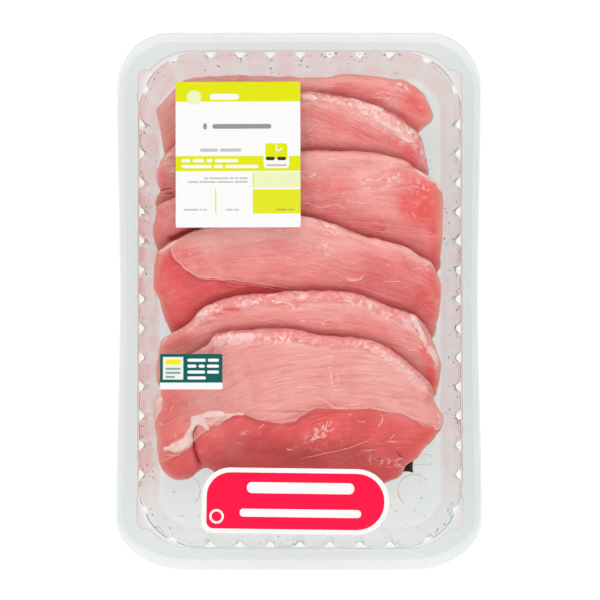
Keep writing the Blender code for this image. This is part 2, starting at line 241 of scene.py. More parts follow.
def tray_mesh():
    """The sheet's inner face, ring by ring from the lip to the middle of the floor."""
    columns = wall_columns()
    rings = []
    juice_and_reflection = []       # how pink the plastic is, 0 to 1: meat juice and damp that cling to it, and painted reflection of the meat
    thickness_and_highlight = []      # how thick the sheet has stayed, 1 at the flange, and lighter along a painted highlight line
    lug = []        # 1 on the drawn-out top of each rib, which is thin and clear, tinted lighter as a painted highlight

    def of_side(column, values):
        """A value given for each side, blended round the corners."""
        if column[0] != "corner":
            return values[column[0]]
        sx, sy, angle = column[1]
        share = angle / (math.pi / 2)
        return ((1 - share) * values["right" if sx > 0 else "left"]
                + share * values["top" if sy > 0 else "bottom"])

    # the sheet is tinted darker on some sides than on others, and pinker on some: clinging juice and painted
    # reflection of the meat
    sheet_tint_by_side = {"left": 0.78, "right": 0.96, "top": 0.68, "bottom": 0.64}
    wall_tint_by_side = {"left": 1.0, "right": 1.3, "top": 1.0, "bottom": 1.25}
    juice_and_reflection_by_side = {"left": 1.0, "right": 0.6, "top": 0.75, "bottom": 0.2}

    def add(ring, pink_tint, thickness):
        rings.append(ring)
        juice_and_reflection.append(pink_tint if isinstance(pink_tint, list) else [pink_tint] * len(columns))
        thickness_and_highlight.append([thickness * of_side(c, sheet_tint_by_side) for c in columns])
        drop = (RIM_Z - ring[0][2]) / MM
        at_lug = smooth_step(2.7, 3.3, drop) * (1 - smooth_step(5.9, 7.6, drop)) if len(rings) > 12 else 0.0
        lug.append([at_lug * (1 - smooth_step(1.6 * MM, 2.8 * MM, c[2])) for c in columns])

    # lip and flange, from the lip's edge inwards: inset from the outline, and drop below the rim
    for inset, drop in ((0.0, 5.0), (0.1, 4.6), (0.55, 2.6), (1.0, 1.2), (1.6, 0.35), (2.4, 0.05), (3.2, 0.0)):
        add([(*flange_point(c, inset * MM, inset * MM), RIM_Z - drop * MM) for c in columns], 0.0, 0.75)
    # painted highlight: the sheet is tinted lighter along the line where the film ends
    for side, end, thickness in ((3.4, 4.2, 0.95), (3.6, 5.0, 0.6), (3.7, 5.5, 0.6), (3.9, 6.3, 1.0)):
        add([(*flange_point(c, side * MM, end * MM), RIM_Z) for c in columns], 0.0, thickness)
    for share in (0.45, 0.88):
        ring = []
        for c in columns:
            outer = Vector(flange_point(c, 3.9 * MM, 6.3 * MM))
            ring.append((*outer.lerp(Vector(cavity_point(c, -0.4 * MM, ear=True)), share), RIM_Z))
        add(ring, 0.0, 1.0)
    for inset, drop in ((-0.3, 0.0), (-0.02, 0.14), (0.1, 0.6), (0.22, 1.5), (0.34, 2.3)):
        pink_tints = [0.75 * smooth_step(0.1, 0.8, drop) * of_side(c, juice_and_reflection_by_side) for c in columns]
        add([(*cavity_point(c, inset * MM, ear=True), RIM_Z - drop * MM) for c in columns], pink_tints, 0.9)

    foot_drop = RIM_Z - WALL_FOOT_Z
    drops = (2.6, 3.0, 3.5, 4.1, 4.8, 5.5, 6.1, 6.8, 7.6, 8.7, 10.4, 12.8, 16, 20, 25, 30, 36, 42, 48)
    for drop in (*drops, foot_drop / MM):
        ring = [(*cavity_point(c, wall_inset(c, drop * MM)), RIM_Z - drop * MM) for c in columns]
        pink_tints = []
        for c, (x, y, z) in zip(columns, ring):
            amount = of_side(c, juice_and_reflection_by_side) * (0.15 + 0.85 * smooth_step(-112 * MM, -78 * MM, y))
            between_ribs = smooth_step(0.8 * MM, 4.6 * MM, c[2])
            patches = 0.5 + 0.5 * noise.fractal(Vector((x, y, z)) / (13 * MM), 1.0, 2.0, 3)
            low = smooth_step(2.6, 4.0, drop) if c[0] == "corner" else 1.0
            pink_tints.append(amount * low * (0.62 + 0.38 * between_ribs) * (0.5 + 0.75 * patches))
        add(ring, pink_tints, 0.62)
        thickness_and_highlight[-1] = [t * of_side(c, wall_tint_by_side) for t, c in zip(thickness_and_highlight[-1], columns)]

    # fillet, then rings that close in on the floor's middle line
    foot_inset = LEDGE + (foot_drop - STEP_DEPTH) * WALL_SLANT
    for inset, lift in ((0.5, 2.9), (1.2, 1.8), (2.1, 0.9), (3.1, 0.3), (4.2, 0.0)):
        ring = []
        for c in columns:
            x, y = cavity_point(c, foot_inset + inset * MM)
            ring.append((x, y, floor_height(x, y) + lift * MM))
        add(ring, [0.35 * m for m in juice_and_reflection[-1]], 0.6)
    last = [Vector(point[:2]) for point in rings[-1]]
    middle_y = CAVITY_HALF_LENGTH - CAVITY_HALF_WIDTH
    longest = CAVITY_HALF_WIDTH - foot_inset - 4.2 * MM
    steps = [k * 1.15 * MM / longest for k in range(1, 25)]
    steps += [steps[-1] + (0.97 - steps[-1]) * k / 5 for k in range(1, 6)]
    for share in steps:
        ring = []
        for point in last:
            target = Vector((0.0, max(-middle_y, min(middle_y, point.y))))
            x, y = point.lerp(target, share)
            ring.append((x, y, floor_height(x, y)))
        add(ring, 0.0, 0.55)
    mesh = rings_mesh("tray_clear", rings)
    point_values(mesh, "juice_and_reflection", juice_and_reflection)
    point_values(mesh, "thickness_and_highlight", thickness_and_highlight)
    point_values(mesh, "lug", lug)
    return mesh


def new_group(name, given, result):
    """A shader node group with its sockets, as pairs of name and kind; returns it and its two ends."""
    group = bpy.data.node_groups.new(name, "ShaderNodeTree")
    for way, sockets in (("INPUT", given), ("OUTPUT", result)):
        for label, kind in sockets:
            group.interface.new_socket(name=label, in_out=way, socket_type="NodeSocket" + kind)
    return group, group.nodes.new("NodeGroupInput").outputs, group.nodes.new("NodeGroupOutput").inputs


def place_group(nodes, group, values):
    """Puts a group into a material with the material's own values, and returns what it gives."""
    node = nodes.new("ShaderNodeGroup")
    node.node_tree = group
    for name, value in values.items():
        node.inputs[name].default_value = value
    return node.outputs


def new_material(name):
    """A material with its nodes, its links and its Principled BSDF."""
    made = bpy.data.materials.new(name)
    made.use_nodes = True
    tree = made.node_tree
    return made, tree.nodes, tree.links, tree.nodes["Principled BSDF"]


def forming_waves():
    """The faint waves of a sheet that was drawn or stretched, or of a liquid's skin."""
    group, given, result = new_group("forming_waves", (("Waves per Metre", "Float"), ("Strength", "Float")),
                                     (("Normal", "Vector"),))
    place = group.nodes.new("ShaderNodeTexCoord")
    waves = group.nodes.new("ShaderNodeTexNoise")
    waves.inputs["Detail"].default_value = 2.0
    group.links.new(place.outputs["Object"], waves.inputs["Vector"])
    group.links.new(given["Waves per Metre"], waves.inputs["Scale"])
    bump = group.nodes.new("ShaderNodeBump")
    bump.inputs["Distance"].default_value = 0.0004
    group.links.new(given["Strength"], bump.inputs["Strength"])
    group.links.new(waves.outputs["Fac"], bump.inputs["Height"])
    group.links.new(bump.outputs["Normal"], result["Normal"])
    return group


WAVES = forming_waves()


def clear_sheet(name, tint, roughness, ior, wave, wave_size):
    """Clear plastic or juice: glass that lets the lamps through, with faint waves."""
    made, nodes, links, shader = new_material(name)
    shader.inputs["Base Color"].default_value = (*tint, 1.0)
    shader.inputs["Metallic"].default_value = 0.0
    shader.inputs["Roughness"].default_value = roughness
    shader.inputs["IOR"].default_value = ior
    shader.inputs["Transmission Weight"].default_value = 1.0
    waves = place_group(nodes, WAVES, {"Waves per Metre": 1 / wave_size, "Strength": wave})
    links.new(waves["Normal"], shader.inputs["Normal"])
    through = nodes.new("ShaderNodeBsdfTransparent")
    through.inputs["Color"].default_value = (*(0.5 + 0.5 * c for c in tint), 1.0)
    path = nodes.new("ShaderNodeLightPath")
    lighting = nodes.new("ShaderNodeMath")
    lighting.operation = "MAXIMUM"
    links.new(path.outputs["Is Shadow Ray"], lighting.inputs[0])
    links.new(path.outputs["Is Diffuse Ray"], lighting.inputs[1])
    mix = nodes.new("ShaderNodeMixShader")
    links.new(lighting.outputs[0], mix.inputs["Fac"])
    links.new(shader.outputs["BSDF"], mix.inputs[1])
    links.new(through.outputs["BSDF"], mix.inputs[2])
    links.new(mix.outputs["Shader"], nodes["Material Output"].inputs["Surface"])
    return made


def tinted(material, layers):
    """Colours a sheet by its point values: each layer is a value's name, and the colour where it is 1."""
    nodes, links = material.node_tree.nodes, material.node_tree.links
    shader = nodes["Principled BSDF"]
    colour = None
    for name, tint in layers:
        value = nodes.new("ShaderNodeAttribute")
        value.attribute_name = name
        blend = nodes.new("ShaderNodeMix")
        blend.data_type = "RGBA"
        links.new(value.outputs["Fac"], blend.inputs["Factor"])
        if colour is None:
            blend.inputs[6].default_value = shader.inputs["Base Color"].default_value
        else:
            links.new(colour, blend.inputs[6])
        blend.inputs[7].default_value = (*tint, 1.0)
        colour = blend.outputs[2]
    links.new(colour, shader.inputs["Base Color"])
    return material


# tint: darker where the sheet is thicker and on some sides, lighter on the painted highlight line where the
# film ends, pink from clinging juice and painted reflection of the meat, lighter on the lugs as a painted
# highlight
clear_plastic = tinted(clear_sheet("clear_tray", (0.80, 0.805, 0.795), 0.05, 1.09, 0.3, 8 * MM), (
    ("thickness_and_highlight", (0.60, 0.64, 0.635)), ("juice_and_reflection", (0.70, 0.50, 0.48)), ("lug", (0.83, 0.84, 0.835))))
tray = placed("tray_clear", tray_mesh(), clear_plastic)
sheet = tray.modifiers.new("sheet", "SOLIDIFY")
sheet.thickness = SHEET
sheet.offset = -1.0
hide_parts("tray")

# Juice and damp
# Beads and smears of water and meat juice that cling to the walls, and juice drawn by surface tension
# along the edges of the floor's feet and bars.
WALL_BEADS = 520
FLOOR_BEADS = 60
JUICE_REDNESS = {"left": 0.5, "top": 0.6, "right": 0.35, "bottom": 0.08, "corner": 0.3}
random.seed(7)
bead_mesh = bmesh.new()
blood_mesh = bmesh.new()


def add_bead(target, centre, outwards, along, sizes):
    """A flattened drop on a surface: sizes along, across and off the surface."""
    side = outwards.cross(along).normalized()
    along = side.cross(outwards).normalized()
    tilt = Matrix((along * sizes[0], side * sizes[1], outwards * sizes[2])).transposed().to_4x4()
    bmesh.ops.create_icosphere(target, subdivisions=1, radius=1.0, matrix=Matrix.Translation(centre) @ tilt)


def add_smear(target, points, width, height):
    """A thin flattened strand through the points, pinched at its ends."""
    points = [Vector(point) for point in points]
    rows = []
    for i, point in enumerate(points):
        ahead = (points[min(i + 1, len(points) - 1)] - points[max(i - 1, 0)]).normalized()
        side = ahead.cross(Vector((0, 0, 1)))
        side = side.normalized() if side.length > 0.05 else Vector((1, 0, 0))
        up = side.cross(ahead)
        full = 0.25 + 0.75 * math.sin(math.pi * i / (len(points) - 1)) ** 0.5
        rows.append([target.verts.new(point + side * math.cos(a) * width / 2 * full
                                      + up * math.sin(a) * height * full)
                     for a in (k * math.tau / 6 for k in range(6))])
    join_rows(target, rows)


wall = [c for c in wall_columns() if c[0] != "corner" or 0.15 < c[1][2] < 1.4]
for _ in range(WALL_BEADS):
    column = random.choice(wall)
    drop = random.choice((random.uniform(4, 14), random.uniform(8, 46))) * MM
    x, y = cavity_point(column, wall_inset(column, drop) + 0.05 * MM)
    inner = Vector(cavity_point(column, wall_inset(column, drop) + 1.0 * MM)) - Vector((x, y))
    red = random.random() < JUICE_REDNESS[column[0]]
    size = random.uniform(0.3, 0.62) if red else random.uniform(0.25, 0.6)
    stretch = random.choice((1.0, 1.0, 1.5, 3.5))
    add_bead(blood_mesh if red else bead_mesh, Vector((x, y, RIM_Z - drop)),
             Vector((*inner.normalized(), 0.1)),
             Vector((random.uniform(-0.6, 0.6), random.uniform(-0.6, 0.6), 1.0)),
             (size * stretch * MM, size * MM, size * 0.45 * MM))
for _ in range(FLOOR_BEADS):
    x = random.uniform(-66, 66) * MM
    y = random.choice((random.uniform(-118, -100), random.uniform(-112, -88))) * MM
    if abs(y) < 96 * MM and abs(x) < 60 * MM:
        continue
    size = random.uniform(0.25, 0.6) * MM
    add_bead(bead_mesh, Vector((x, y, floor_height(x, y))), Vector((0, 0, 1)), Vector((1, 0.3, 0)),
             (size * random.uniform(1, 1.8), size, size * 0.4))
juice_lines = bmesh.new()
for sx in (1, -1):
    for k in range(-1, 10):
        y = FIRST_BAR_Y + k * BAR_PITCH
        if abs(y) > 90 * MM:
            continue
        wet_z = FLOOR_Z + PANEL_RISE + 0.1 * MM
        path = []
        for step in range(17):
            turn = math.pi * (step / 16 - 0.5)
            reach = BAR_REACH - 1.6 * MM + 1.6 * MM * math.cos(turn)
            path.append((sx * reach, y + BAR_HALF_WIDTH * math.sin(turn), wet_z))
        add_smear(juice_lines, [(sx * 50 * MM, y - BAR_HALF_WIDTH, wet_z)] + path[:6], 0.5 * MM, 0.2 * MM)
        add_smear(juice_lines, path[10:] + [(sx * 50 * MM, y + BAR_HALF_WIDTH, wet_z)], 0.4 * MM, 0.2 * MM)
    for sy in (1, -1):
        path = []
        for step in range(25):
            turn = math.radians(-55 + 200 * step / 24)
            radius = FOOT_RADIUS + 0.1 * MM
            px = FOOT_CENTRE[0] - radius * math.cos(turn)
            py = FOOT_CENTRE[1] - radius * math.sin(turn)
            path.append((sx * px, sy * py, FLOOR_Z + 0.45 * MM))
        add_smear(juice_lines, path[:9], 0.55 * MM, 0.2 * MM)
        add_smear(juice_lines, path[7:], 0.38 * MM, 0.2 * MM)


for name, drops, liquid in (
        ("damp_beads", bead_mesh, clear_sheet("damp", (0.84, 0.835, 0.83), 0.03, 1.12, 0.0, 5 * MM)),
        ("juice_beads", blood_mesh, clear_sheet("meat_juice", (0.84, 0.33, 0.42), 0.08, 1.1, 0.0, 5 * MM)),
        ("floor_juice", juice_lines, clear_sheet("thin_juice", (0.90, 0.62, 0.61), 0.08, 1.1, 0.0, 5 * MM))):
    placed(name, finished_mesh(name, drops), liquid)

# Absorbent pad
# A quilted fleece pad laid on the floor under the meat, dark where it has soaked up juice.
pad_low, pad_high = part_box("absorbent_pad")
PAD_WIDTH = 118.0 * MM
PAD_LENGTH = 158.0 * MM
PAD_TURN = math.radians(-1.6)


def pad_mesh():
    """A thin cushion with pressed, slightly ragged edges and rows of dimples, turned a little in the tray."""
    across = 72
    along = 96
    middle = (pad_low + pad_high) / 2
    bm = bmesh.new()
    layers = []
    for top in (True, False):
        grid = []
        for j in range(along + 1):
            row = []
            for i in range(across + 1):
                x = PAD_WIDTH * (i / across - 0.5)
                y = PAD_LENGTH * (j / along - 0.5)
                edge = min(PAD_WIDTH / 2 - abs(x), PAD_LENGTH / 2 - abs(y))
                full = smooth_step(0.0, 4.5 * MM, edge)
                dimple = 0.5 + 0.5 * math.cos(x / (9 * MM) * math.tau) * math.cos(y / (9 * MM) * math.tau)
                half = (0.12 + 0.68 * full * (0.75 + 0.25 * dimple)) * MM
                ragged = 1 - 0.018 * (0.5 + 0.5 * noise.noise(Vector((x, y, 0.0)) / (1.6 * MM)))
                x, y = x * ragged, y * ragged
                row.append(bm.verts.new((middle.x + x * math.cos(PAD_TURN) - y * math.sin(PAD_TURN),
                                         middle.y + x * math.sin(PAD_TURN) + y * math.cos(PAD_TURN),
                                         middle.z + (half if top else -half))))
            grid.append(row)
        layers.append(grid)
    top, bottom = layers
    for j in range(along):
        for i in range(across):
            bm.faces.new((top[j][i], top[j][i + 1], top[j + 1][i + 1], top[j + 1][i]))
            bm.faces.new((bottom[j][i], bottom[j + 1][i], bottom[j + 1][i + 1], bottom[j][i + 1]))
    loop = [(0, i) for i in range(across)] + [(j, across) for j in range(along)]
    loop += [(along, i) for i in range(across, 0, -1)] + [(j, 0) for j in range(along, 0, -1)]
    for (j, i), (jj, ii) in zip(loop, loop[1:] + loop[:1]):
        bm.faces.new((bottom[j][i], bottom[jj][ii], top[jj][ii], top[j][i]))
    return finished_mesh("absorbent_pad_quilt", bm)


def soaked_fleece():
    made, nodes, links, shader = new_material("soaked_fleece")
    shader.inputs["Roughness"].default_value = 0.8
    shader.inputs["Specular IOR Level"].default_value = 0.15
    place = nodes.new("ShaderNodeTexCoord")
    blotches = nodes.new("ShaderNodeTexNoise")
    blotches.inputs["Scale"].default_value = 180.0
    blotches.inputs["Detail"].default_value = 5.0
    links.new(place.outputs["Object"], blotches.inputs["Vector"])
    ramp = nodes.new("ShaderNodeValToRGB")
    for stop, position, colour in zip(ramp.color_ramp.elements, (0.35, 0.7),
                                      ((0.010, 0.006, 0.005, 1), (0.065, 0.038, 0.030, 1))):
        stop.position = position
        stop.color = colour
    links.new(blotches.outputs["Fac"], ramp.inputs["Fac"])
    links.new(ramp.outputs["Color"], shader.inputs["Base Color"])
    bump = nodes.new("ShaderNodeBump")
    bump.inputs["Strength"].default_value = 0.5
    bump.inputs["Distance"].default_value = 0.0003
    links.new(blotches.outputs["Fac"], bump.inputs["Height"])
    links.new(bump.outputs["Normal"], shader.inputs["Normal"])
    return made


pad = placed("absorbent_pad_quilt", pad_mesh(), soaked_fleece())
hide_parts("absorbent_pad")

# Pork slices
# Six slices cut across a leg of pork: pale and darker muscles with thin white seams between them, and
# a band of silverskin and fat round the far edge. Each lies sloping on the one before it.
SLICE_SLOPE = 0.46
SLICE_PITCH = 29.4 * MM
FIRST_LOW_Y = 57.0 * MM
SLICE_THICKNESS = 13.0 * MM
SLICE_BASE_Z = pad_high.z + 0.3 * MM
OUTLINE_POINTS = 420
SHORT_STRANDS = 14
# painted shade: how dark each slice is painted under the next one's edge
CONTACT_SHADOWS = (0.18, 0.42, 0.58, 0.5, 0.3)      # how dark each slice is under the next one's edge

# Per slice, read off the photo, in millimetres seen from above: the outline, clockwise from the left
# end; the edge between pale muscle (above it) and dark muscle, or none; the grain's direction in degrees;
# the band of skin, from its left end to its right end and how wide; how much fairer the pale muscle is all
# over; then strokes of (points, half width, strength) where the flesh is paler, painted highlights along the
# far edges among them, or redder, or in painted shade; dark red strokes of blood and of painted shade in
# creases; strokes where it has skin, fat or flecks of fat on it, some white ones along the rims being
# painted highlights; last, strands of sinew that lie on the surface, as (points, radius), a few on the sixth
# slice being painted highlights: glints on the wet face.
# A notch is a fold that runs in from the near edge.
SLICES = (
    dict(
        outline=((-70.5, 87), (-72.3, 96.8), (-69.2, 100.8), (-60.5, 109.5), (-54.1, 112.3), (-43.5, 113.3),
                 (-29.4, 113.8), (-10, 113.4), (12.6, 112.9), (21.7, 114.3), (34.5, 113.7), (47.9, 112),
                 (53.4, 111.3), (62, 106.1), (64.6, 102.1), (67.6, 96.8), (67.4, 91.6), (61, 85.5),
                 (56, 70), (46, 59), (15, 51.5), (-30, 51.5), (-58, 58), (-67.5, 70)),
        dark=None, grain=4, band=None, fair=0.45,
        pale=(
            (((4.1, 109.5), (21.1, 108.3)), 1.5, 0.5),
            (((34.4, 112.3), (48.9, 108.9), (59.9, 105.5)), 1.8, 0.5), (((42.9, 107.2), (49.1, 102)), 2.1, 0.3),
            (((65.1, 92.8), (61.6, 86.9)), 1.8, 0.5), (((-68.7, 100.8), (-63.5, 107.5)), 4.4, 0.9)),
        red=(
            (((57, 102), (60.1, 97.4)), 5.1, 0.8), (((18.7, 106.6), (43, 103.2)), 2.7, 0.5),
            (((52.3, 93.9), (59.1, 89.3)), 2.7, 0.5)),
        shade=(
            (((15.7, 104.9), (27.8, 104.3), (39.4, 100.9), (52.9, 93.3), (59.1, 86.9)), 2.1, 0.45),),
        white=(
            (((48.3, 110.6), (52, 107.8)), 0.8, 0.7), (((-69.7, 100.4), (-65.5, 108.4)), 0.7, 0.6)),
        flecks=(
            (((47.7, 111.2), (53.8, 106.6)), 1.8, 0.9), (((39.3, 103.2), (44.8, 102)), 1.5, 0.7)),
        strands=(
            (((6.6, 105.8), (10.8, 107.1), (15, 107.5), (20.5, 108)), 0.24),
            (((45.2, 97.1), (45.8, 99.7), (46.4, 100.3)), 0.27), (((40.3, 102.3), (44.2, 102.5)), 0.18),
            (((26.5, 108.9), (27.1, 107.8)), 0.18), (((49.5, 110.1), (52, 108.9)), 0.21))),
    dict(
        outline=((-73, 48.5), (-72.7, 52.7), (-70.7, 56.4), (-72, 59.5), (-72.4, 64.3), (-71.4, 68.4),
                 (-69.2, 72.2), (-61.9, 79.3), (-45, 91), (-25, 99), (0.5, 104.1), (15.6, 103),
                 (26.4, 101.3), (42.8, 96.4), (53.8, 89.5), (61.9, 81.5), (65.3, 68.7), (65.4, 61),
                 (63, 50), (52, 36), (22, 24), (-10, 22), (-42, 25), (-66, 36)),
        dark=None, grain=-14, band=(-30, 66, 5.4), fair=0.24,
        pale=(
            (((0.5, 97.7), (15.5, 95.9), (29.4, 91.4), (42.8, 85.6)), 1.8, 0.6),
            (((6.5, 85.6), (30.8, 79.8)), 3.6, 0.3), (((-67, 72.7), (-64.6, 68.2)), 2, 0.5)),
        red=(
            (((55.1, 76.3), (58.2, 69.9)), 2.7, 0.8), (((18.6, 87.9), (48.9, 79.2)), 2.7, 0.35),
            (((0.5, 93.7), (18.6, 91.4)), 2.4, 0.35), (((-69.8, 64.3), (-68.4, 59.3)), 1.8, 0.5)),
        shade=(
            (((0.5, 79.8), (18.7, 78.7), (36.9, 77.5)), 1.8, 0.25),),
        dark_red=(
            # painted shade in the crease at the left end's notch
            (((-70.5, 56.5), (-67.4, 56.8), (-63.6, 57.3)), 0.4, 0.9),
            (((-69.1, 54.4), (-62.9, 54.9)), 0.8, 0.5)),
        membrane=(
            (((9.5, 100.5), (18.5, 99.4), (25.7, 97.7)), 2.1, 0.7),
            (((26.3, 98.2), (36.6, 94.8), (46.3, 88.5), (58, 80.4)), 3.3, 0.95),
            (((61, 79.8), (63, 74), (64.1, 66.4)), 1.8, 0.7)),
        white=(
            (((0.5, 101.8), (4.1, 101.5), (9.5, 100.2)), 1.2, 1),
            (((36.6, 91.4), (41.5, 88.5), (46.4, 85.6), (52.5, 81), (57.4, 79.2)), 0.7, 0.9),
            (((54.3, 83.3), (56.7, 85.6), (58.5, 83.9)), 0.9, 0.9),
            (((-67.6, 70.2), (-67, 72.7), (-63.9, 74.6)), 0.7, 0.9)),
        flecks=(
            (((27.5, 99.4), (39.6, 93.7), (48.8, 86.8), (58.6, 78.7)), 3.6, 1),
            (((23.3, 99.9), (27.6, 93.7)), 1.8, 0.6), (((-65.1, 68.2), (-63.6, 64.8)), 1.3, 0.8)),
        strands=(
            (((32.3, 98.2), (35.1, 92.5), (38.5, 87.9)), 0.27), (((26.3, 99.9), (27.9, 95.4)), 0.24),
            (((34.1, 97.7), (39, 91.9)), 0.18), (((40.2, 97.1), (42.7, 91.9)), 0.18),
            (((45, 93.7), (43.9, 88.5), (46.4, 85.6)), 0.24), (((50, 88.5), (51.3, 83.9), (54.9, 82.1)), 0.27),
            (((47.6, 85.6), (52.5, 80.4)), 0.24), (((56.8, 79.2), (59, 76.3)), 0.27),
            (((42.7, 87.3), (46.4, 86.8)), 0.27), (((7.1, 90.9), (11, 88.8)), 0.21),
            (((3.8, 84.5), (6.5, 85.6)), 0.18), (((4.1, 82.1), (7.8, 79.8)), 0.15),
            (((46.3, 91.4), (52.4, 88.5), (56.7, 84.5)), 0.18), (((37.8, 93.1), (41.5, 91.4)), 0.21),
            (((61.6, 79.8), (61.2, 73.4)), 0.15), (((0.5, 99.6), (7.7, 99.1), (13.7, 98.1)), 0.18),
            (((21.5, 95.9), (31.8, 91.6), (42.8, 86.2), (52.5, 80.4), (58.7, 75.8)), 0.18))),
    dict(
        outline=((-73.4, 31.2), (-73.9, 37.3), (-72.5, 43.5), (-72.1, 47.3), (-69, 49.7), (-62.2, 52.3),
                 (-45, 61), (-25, 69.5), (1.1, 74.7), (26, 74.7), (38.7, 73.9), (46.3, 72.2), (54, 69.8),
                 (57.6, 66.6), (63.8, 63.4), (68.5, 60.2), (71.7, 56), (72.7, 51.3), (72.8, 32.9),
                 (72.6, 25.3), (71.3, 16.1), (64, 6), (46, -4), (15, -8), (-20, -8), (-52, -1), (-68, 14)),
        dark=None, grain=10, band=None, fair=0.1,
        pale=(
            (((0.6, 71.5), (30.9, 71.5)), 4, 0.6), (((31, 63.2), (46.2, 67.1)), 3.3, 0.6),
            (((36, 71.5), (53.7, 68.1)), 2, 0.6), (((3.1, 64.7), (20.9, 65.6)), 2.3, 0.4),
            (((31.1, 53.9), (43.8, 54.9)), 2.3, 0.35)),
        red=(
            (((62.5, 55.3), (63.6, 46.5)), 6.5, 1), (((54.5, 49.5), (58, 45)), 5, 0.7),
            (((52.1, 49.9), (52.2, 45.5)), 2, 0.7),
            (((67.2, 40), (69.2, 22.5)), 3.3, 0.7), (((1.6, 55.9), (20.9, 57.3)), 3.3, 0.4),
            (((48.7, 64.7), (56.4, 61.7)), 2, 0.3), (((-71, 45), (-71.9, 32.5)), 2, 0.4)),
        shade=(
            (((3.1, 47), (17, 43), (31.3, 38.5), (46.3, 33)), 5.0, 0.6),
            (((-64.6, 37), (-62.7, 32.5)), 3, 0.4)),
        dark_red=(
            (((46.9, 55.9), (51.4, 57.3), (58, 57.8)), 0.3, 0.6),
            (((40.2, 62.7), (44.2, 63.9), (52.8, 63.9)), 0.3, 0.5),
            (((40.6, 36), (42.1, 35.5), (43.2, 36.5)), 0.3, 0.7),
            # painted shade next to the fourth slice's edge
            (((-67.4, 30), (-59.6, 33.5), (-50.3, 36.5)), 1.5, 0.6)),
        white=(
            # painted highlight on the rounded far right edge
            (((57.6, 65.9), (63, 62.7), (68.7, 59.3), (71.3, 54.9)), 0.9, 0.85),
            (((40.5, 72.4), (46.1, 71.5), (48.1, 70)), 0.5, 0.7), (((51.2, 69.3), (55.8, 68.1)), 0.4, 0.6),
            (((-71, 47.7), (-66.3, 49.9), (-61.9, 52.2)), 0.3, 0.8), (((14.2, 70.3), (18.3, 70.5)), 0.4, 0.7),
            (((71.7, 43), (72.2, 42)), 0.5, 0.8)),
        flecks=(
            (((34.1, 59.3), (50.4, 60.3)), 2.8, 0.7), (((2.1, 62.2), (8.7, 62.7)), 1, 0.8),
            (((60.5, 59.8), (64.2, 53.9)), 2.8, 0.5), (((45.1, 69), (48.2, 68.6)), 1.3, 0.8)),
        strands=(
            (((1, 49.2), (4.7, 49), (8, 47.7), (11.3, 46.6), (13.4, 47.1), (16.4, 48.2), (19, 48.4),
              (21.3, 47.6), (23.8, 45.4)), 0.17),
            (((24, 50.4), (27.1, 49.9), (30.2, 49.5), (33.2, 48.8), (34.8, 49.2)), 0.20),
            (((34.5, 51), (37.8, 51.6), (41.1, 51.8), (43.9, 51.4)), 0.17), (((56.6, 44.5), (58.7, 42)), 0.20),
            (((59.1, 54.9), (58.9, 52.9)), 0.17), (((14.2, 70.1), (18.3, 70.4)), 0.17),
            (((40.3, 55.4), (44.3, 55.5)), 0.15), (((3.6, 61.3), (8.5, 62.7)), 0.17),
            (((28, 59.8), (31.1, 60.8)), 0.15), (((41.9, 35.5), (41.9, 33.5)), 0.17),
            (((20.5, 52.7), (24, 54.9), (28.1, 56.3)), 0.10),
            (((34.1, 58.3), (36.1, 59.8), (40.2, 62.7), (44.2, 63.7), (50.3, 62.7)), 0.10),
            (((3.1, 66.6), (8.7, 67.3)), 0.12), (((12.8, 64.7), (16.8, 65.6)), 0.12))),
    dict(
        outline=((-70.8, 0.9), (-73.5, 6), (-73.7, 10.5), (-73.2, 15.6), (-72.5, 20.6), (-71.1, 24.9),
                 (-63.3, 30.1), (-54, 34.6), (-48.9, 36.5), (-35, 40.5), (-17, 43.6), (1.1, 42.6),
                 (10.8, 40.6), (19.9, 37.7), (28.6, 34.2), (44, 30.2), (51.7, 28.2), (59.4, 24.1),
                 (67.3, 19.1), (71.6, 9.5), (72.3, 3), (71.5, -4.4), (68.8, -17.8), (62, -25), (44, -33),
                 (10, -38), (-28, -37), (-55, -29), (-67, -12)),
        dark=((-80, 36), (-68, 32), (-64, 26), (-63, 22), (-60.5, 19.5), (-57.5, 16.5), (-53.8, 14.1),
              (-49.6, 11.8), (-42, 11.3), (-36.4, 10.8), (-26.6, 9.6), (-12, 7.2), (2, 5), (20, -2), (60, -30)),
        grain=-8, band=None, fair=0.0,
        pale=(
            (((3.1, 38.2), (16.8, 34.3), (31, 31.8), (46.3, 27.8), (59.2, 22.9)), 1.1, 0.8),
            (((-38.6, 33.3), (5.5, 33.3)), 3, 0.5), (((-60, 26.9), (-43.7, 31.8)), 2.3, 0.35),
            (((-1.9, 31.8), (26, 26.9)), 4.5, 0.5), (((-50, 29), (-36, 31), (-20, 31)), 5, 0.6),
            (((-71, 12), (-66, 3)), 5, 0.25)),
        red=(
            (((-68.5, 16.9), (-69.8, 4.3)), 4.5, 0.5), (((-61.9, 11.8), (-59.6, 4.3)), 4.5, 0.4),
            (((66.6, 13.4), (68.4, 4.3)), 3.8, 0.75), (((-59.1, 24.4), (-49, 17.9)), 4, 0.35),
            (((26.1, 21.9), (56.8, 15.4)), 3, 0.3), (((62.2, 3.1), (66.5, -4.6)), 3.3, 0.8)),
        shade=(
            (((-4.5, 7.8), (10.8, 11.8), (26.2, 14.4), (41.5, 11.8)), 3.8, 0.4),
            (((-39, 7.8), (-23.6, 5.8), (-8.2, 4.3)), 1.5, 0.9), (((-54.3, 9.3), (-39, 5.3)), 3, 0.55),
            (((-4.5, 15.4), (8.3, 16.9)), 1.5, 0.3), (((36, 9), (50, 6), (60, -2)), 6.5, 0.7)),
        membrane=(
            (((1.1, 41.2), (8.7, 40.2), (17.3, 37.7), (23.9, 34.3)), 1.8, 0.8),
            (((-49.7, 34.3), (-41.6, 35.8)), 1, 0.7)),
        white=(
            (((-70.8, 23.9), (-66.7, 26.4), (-63, 29.1), (-59.9, 30.3)), 0.7, 1),
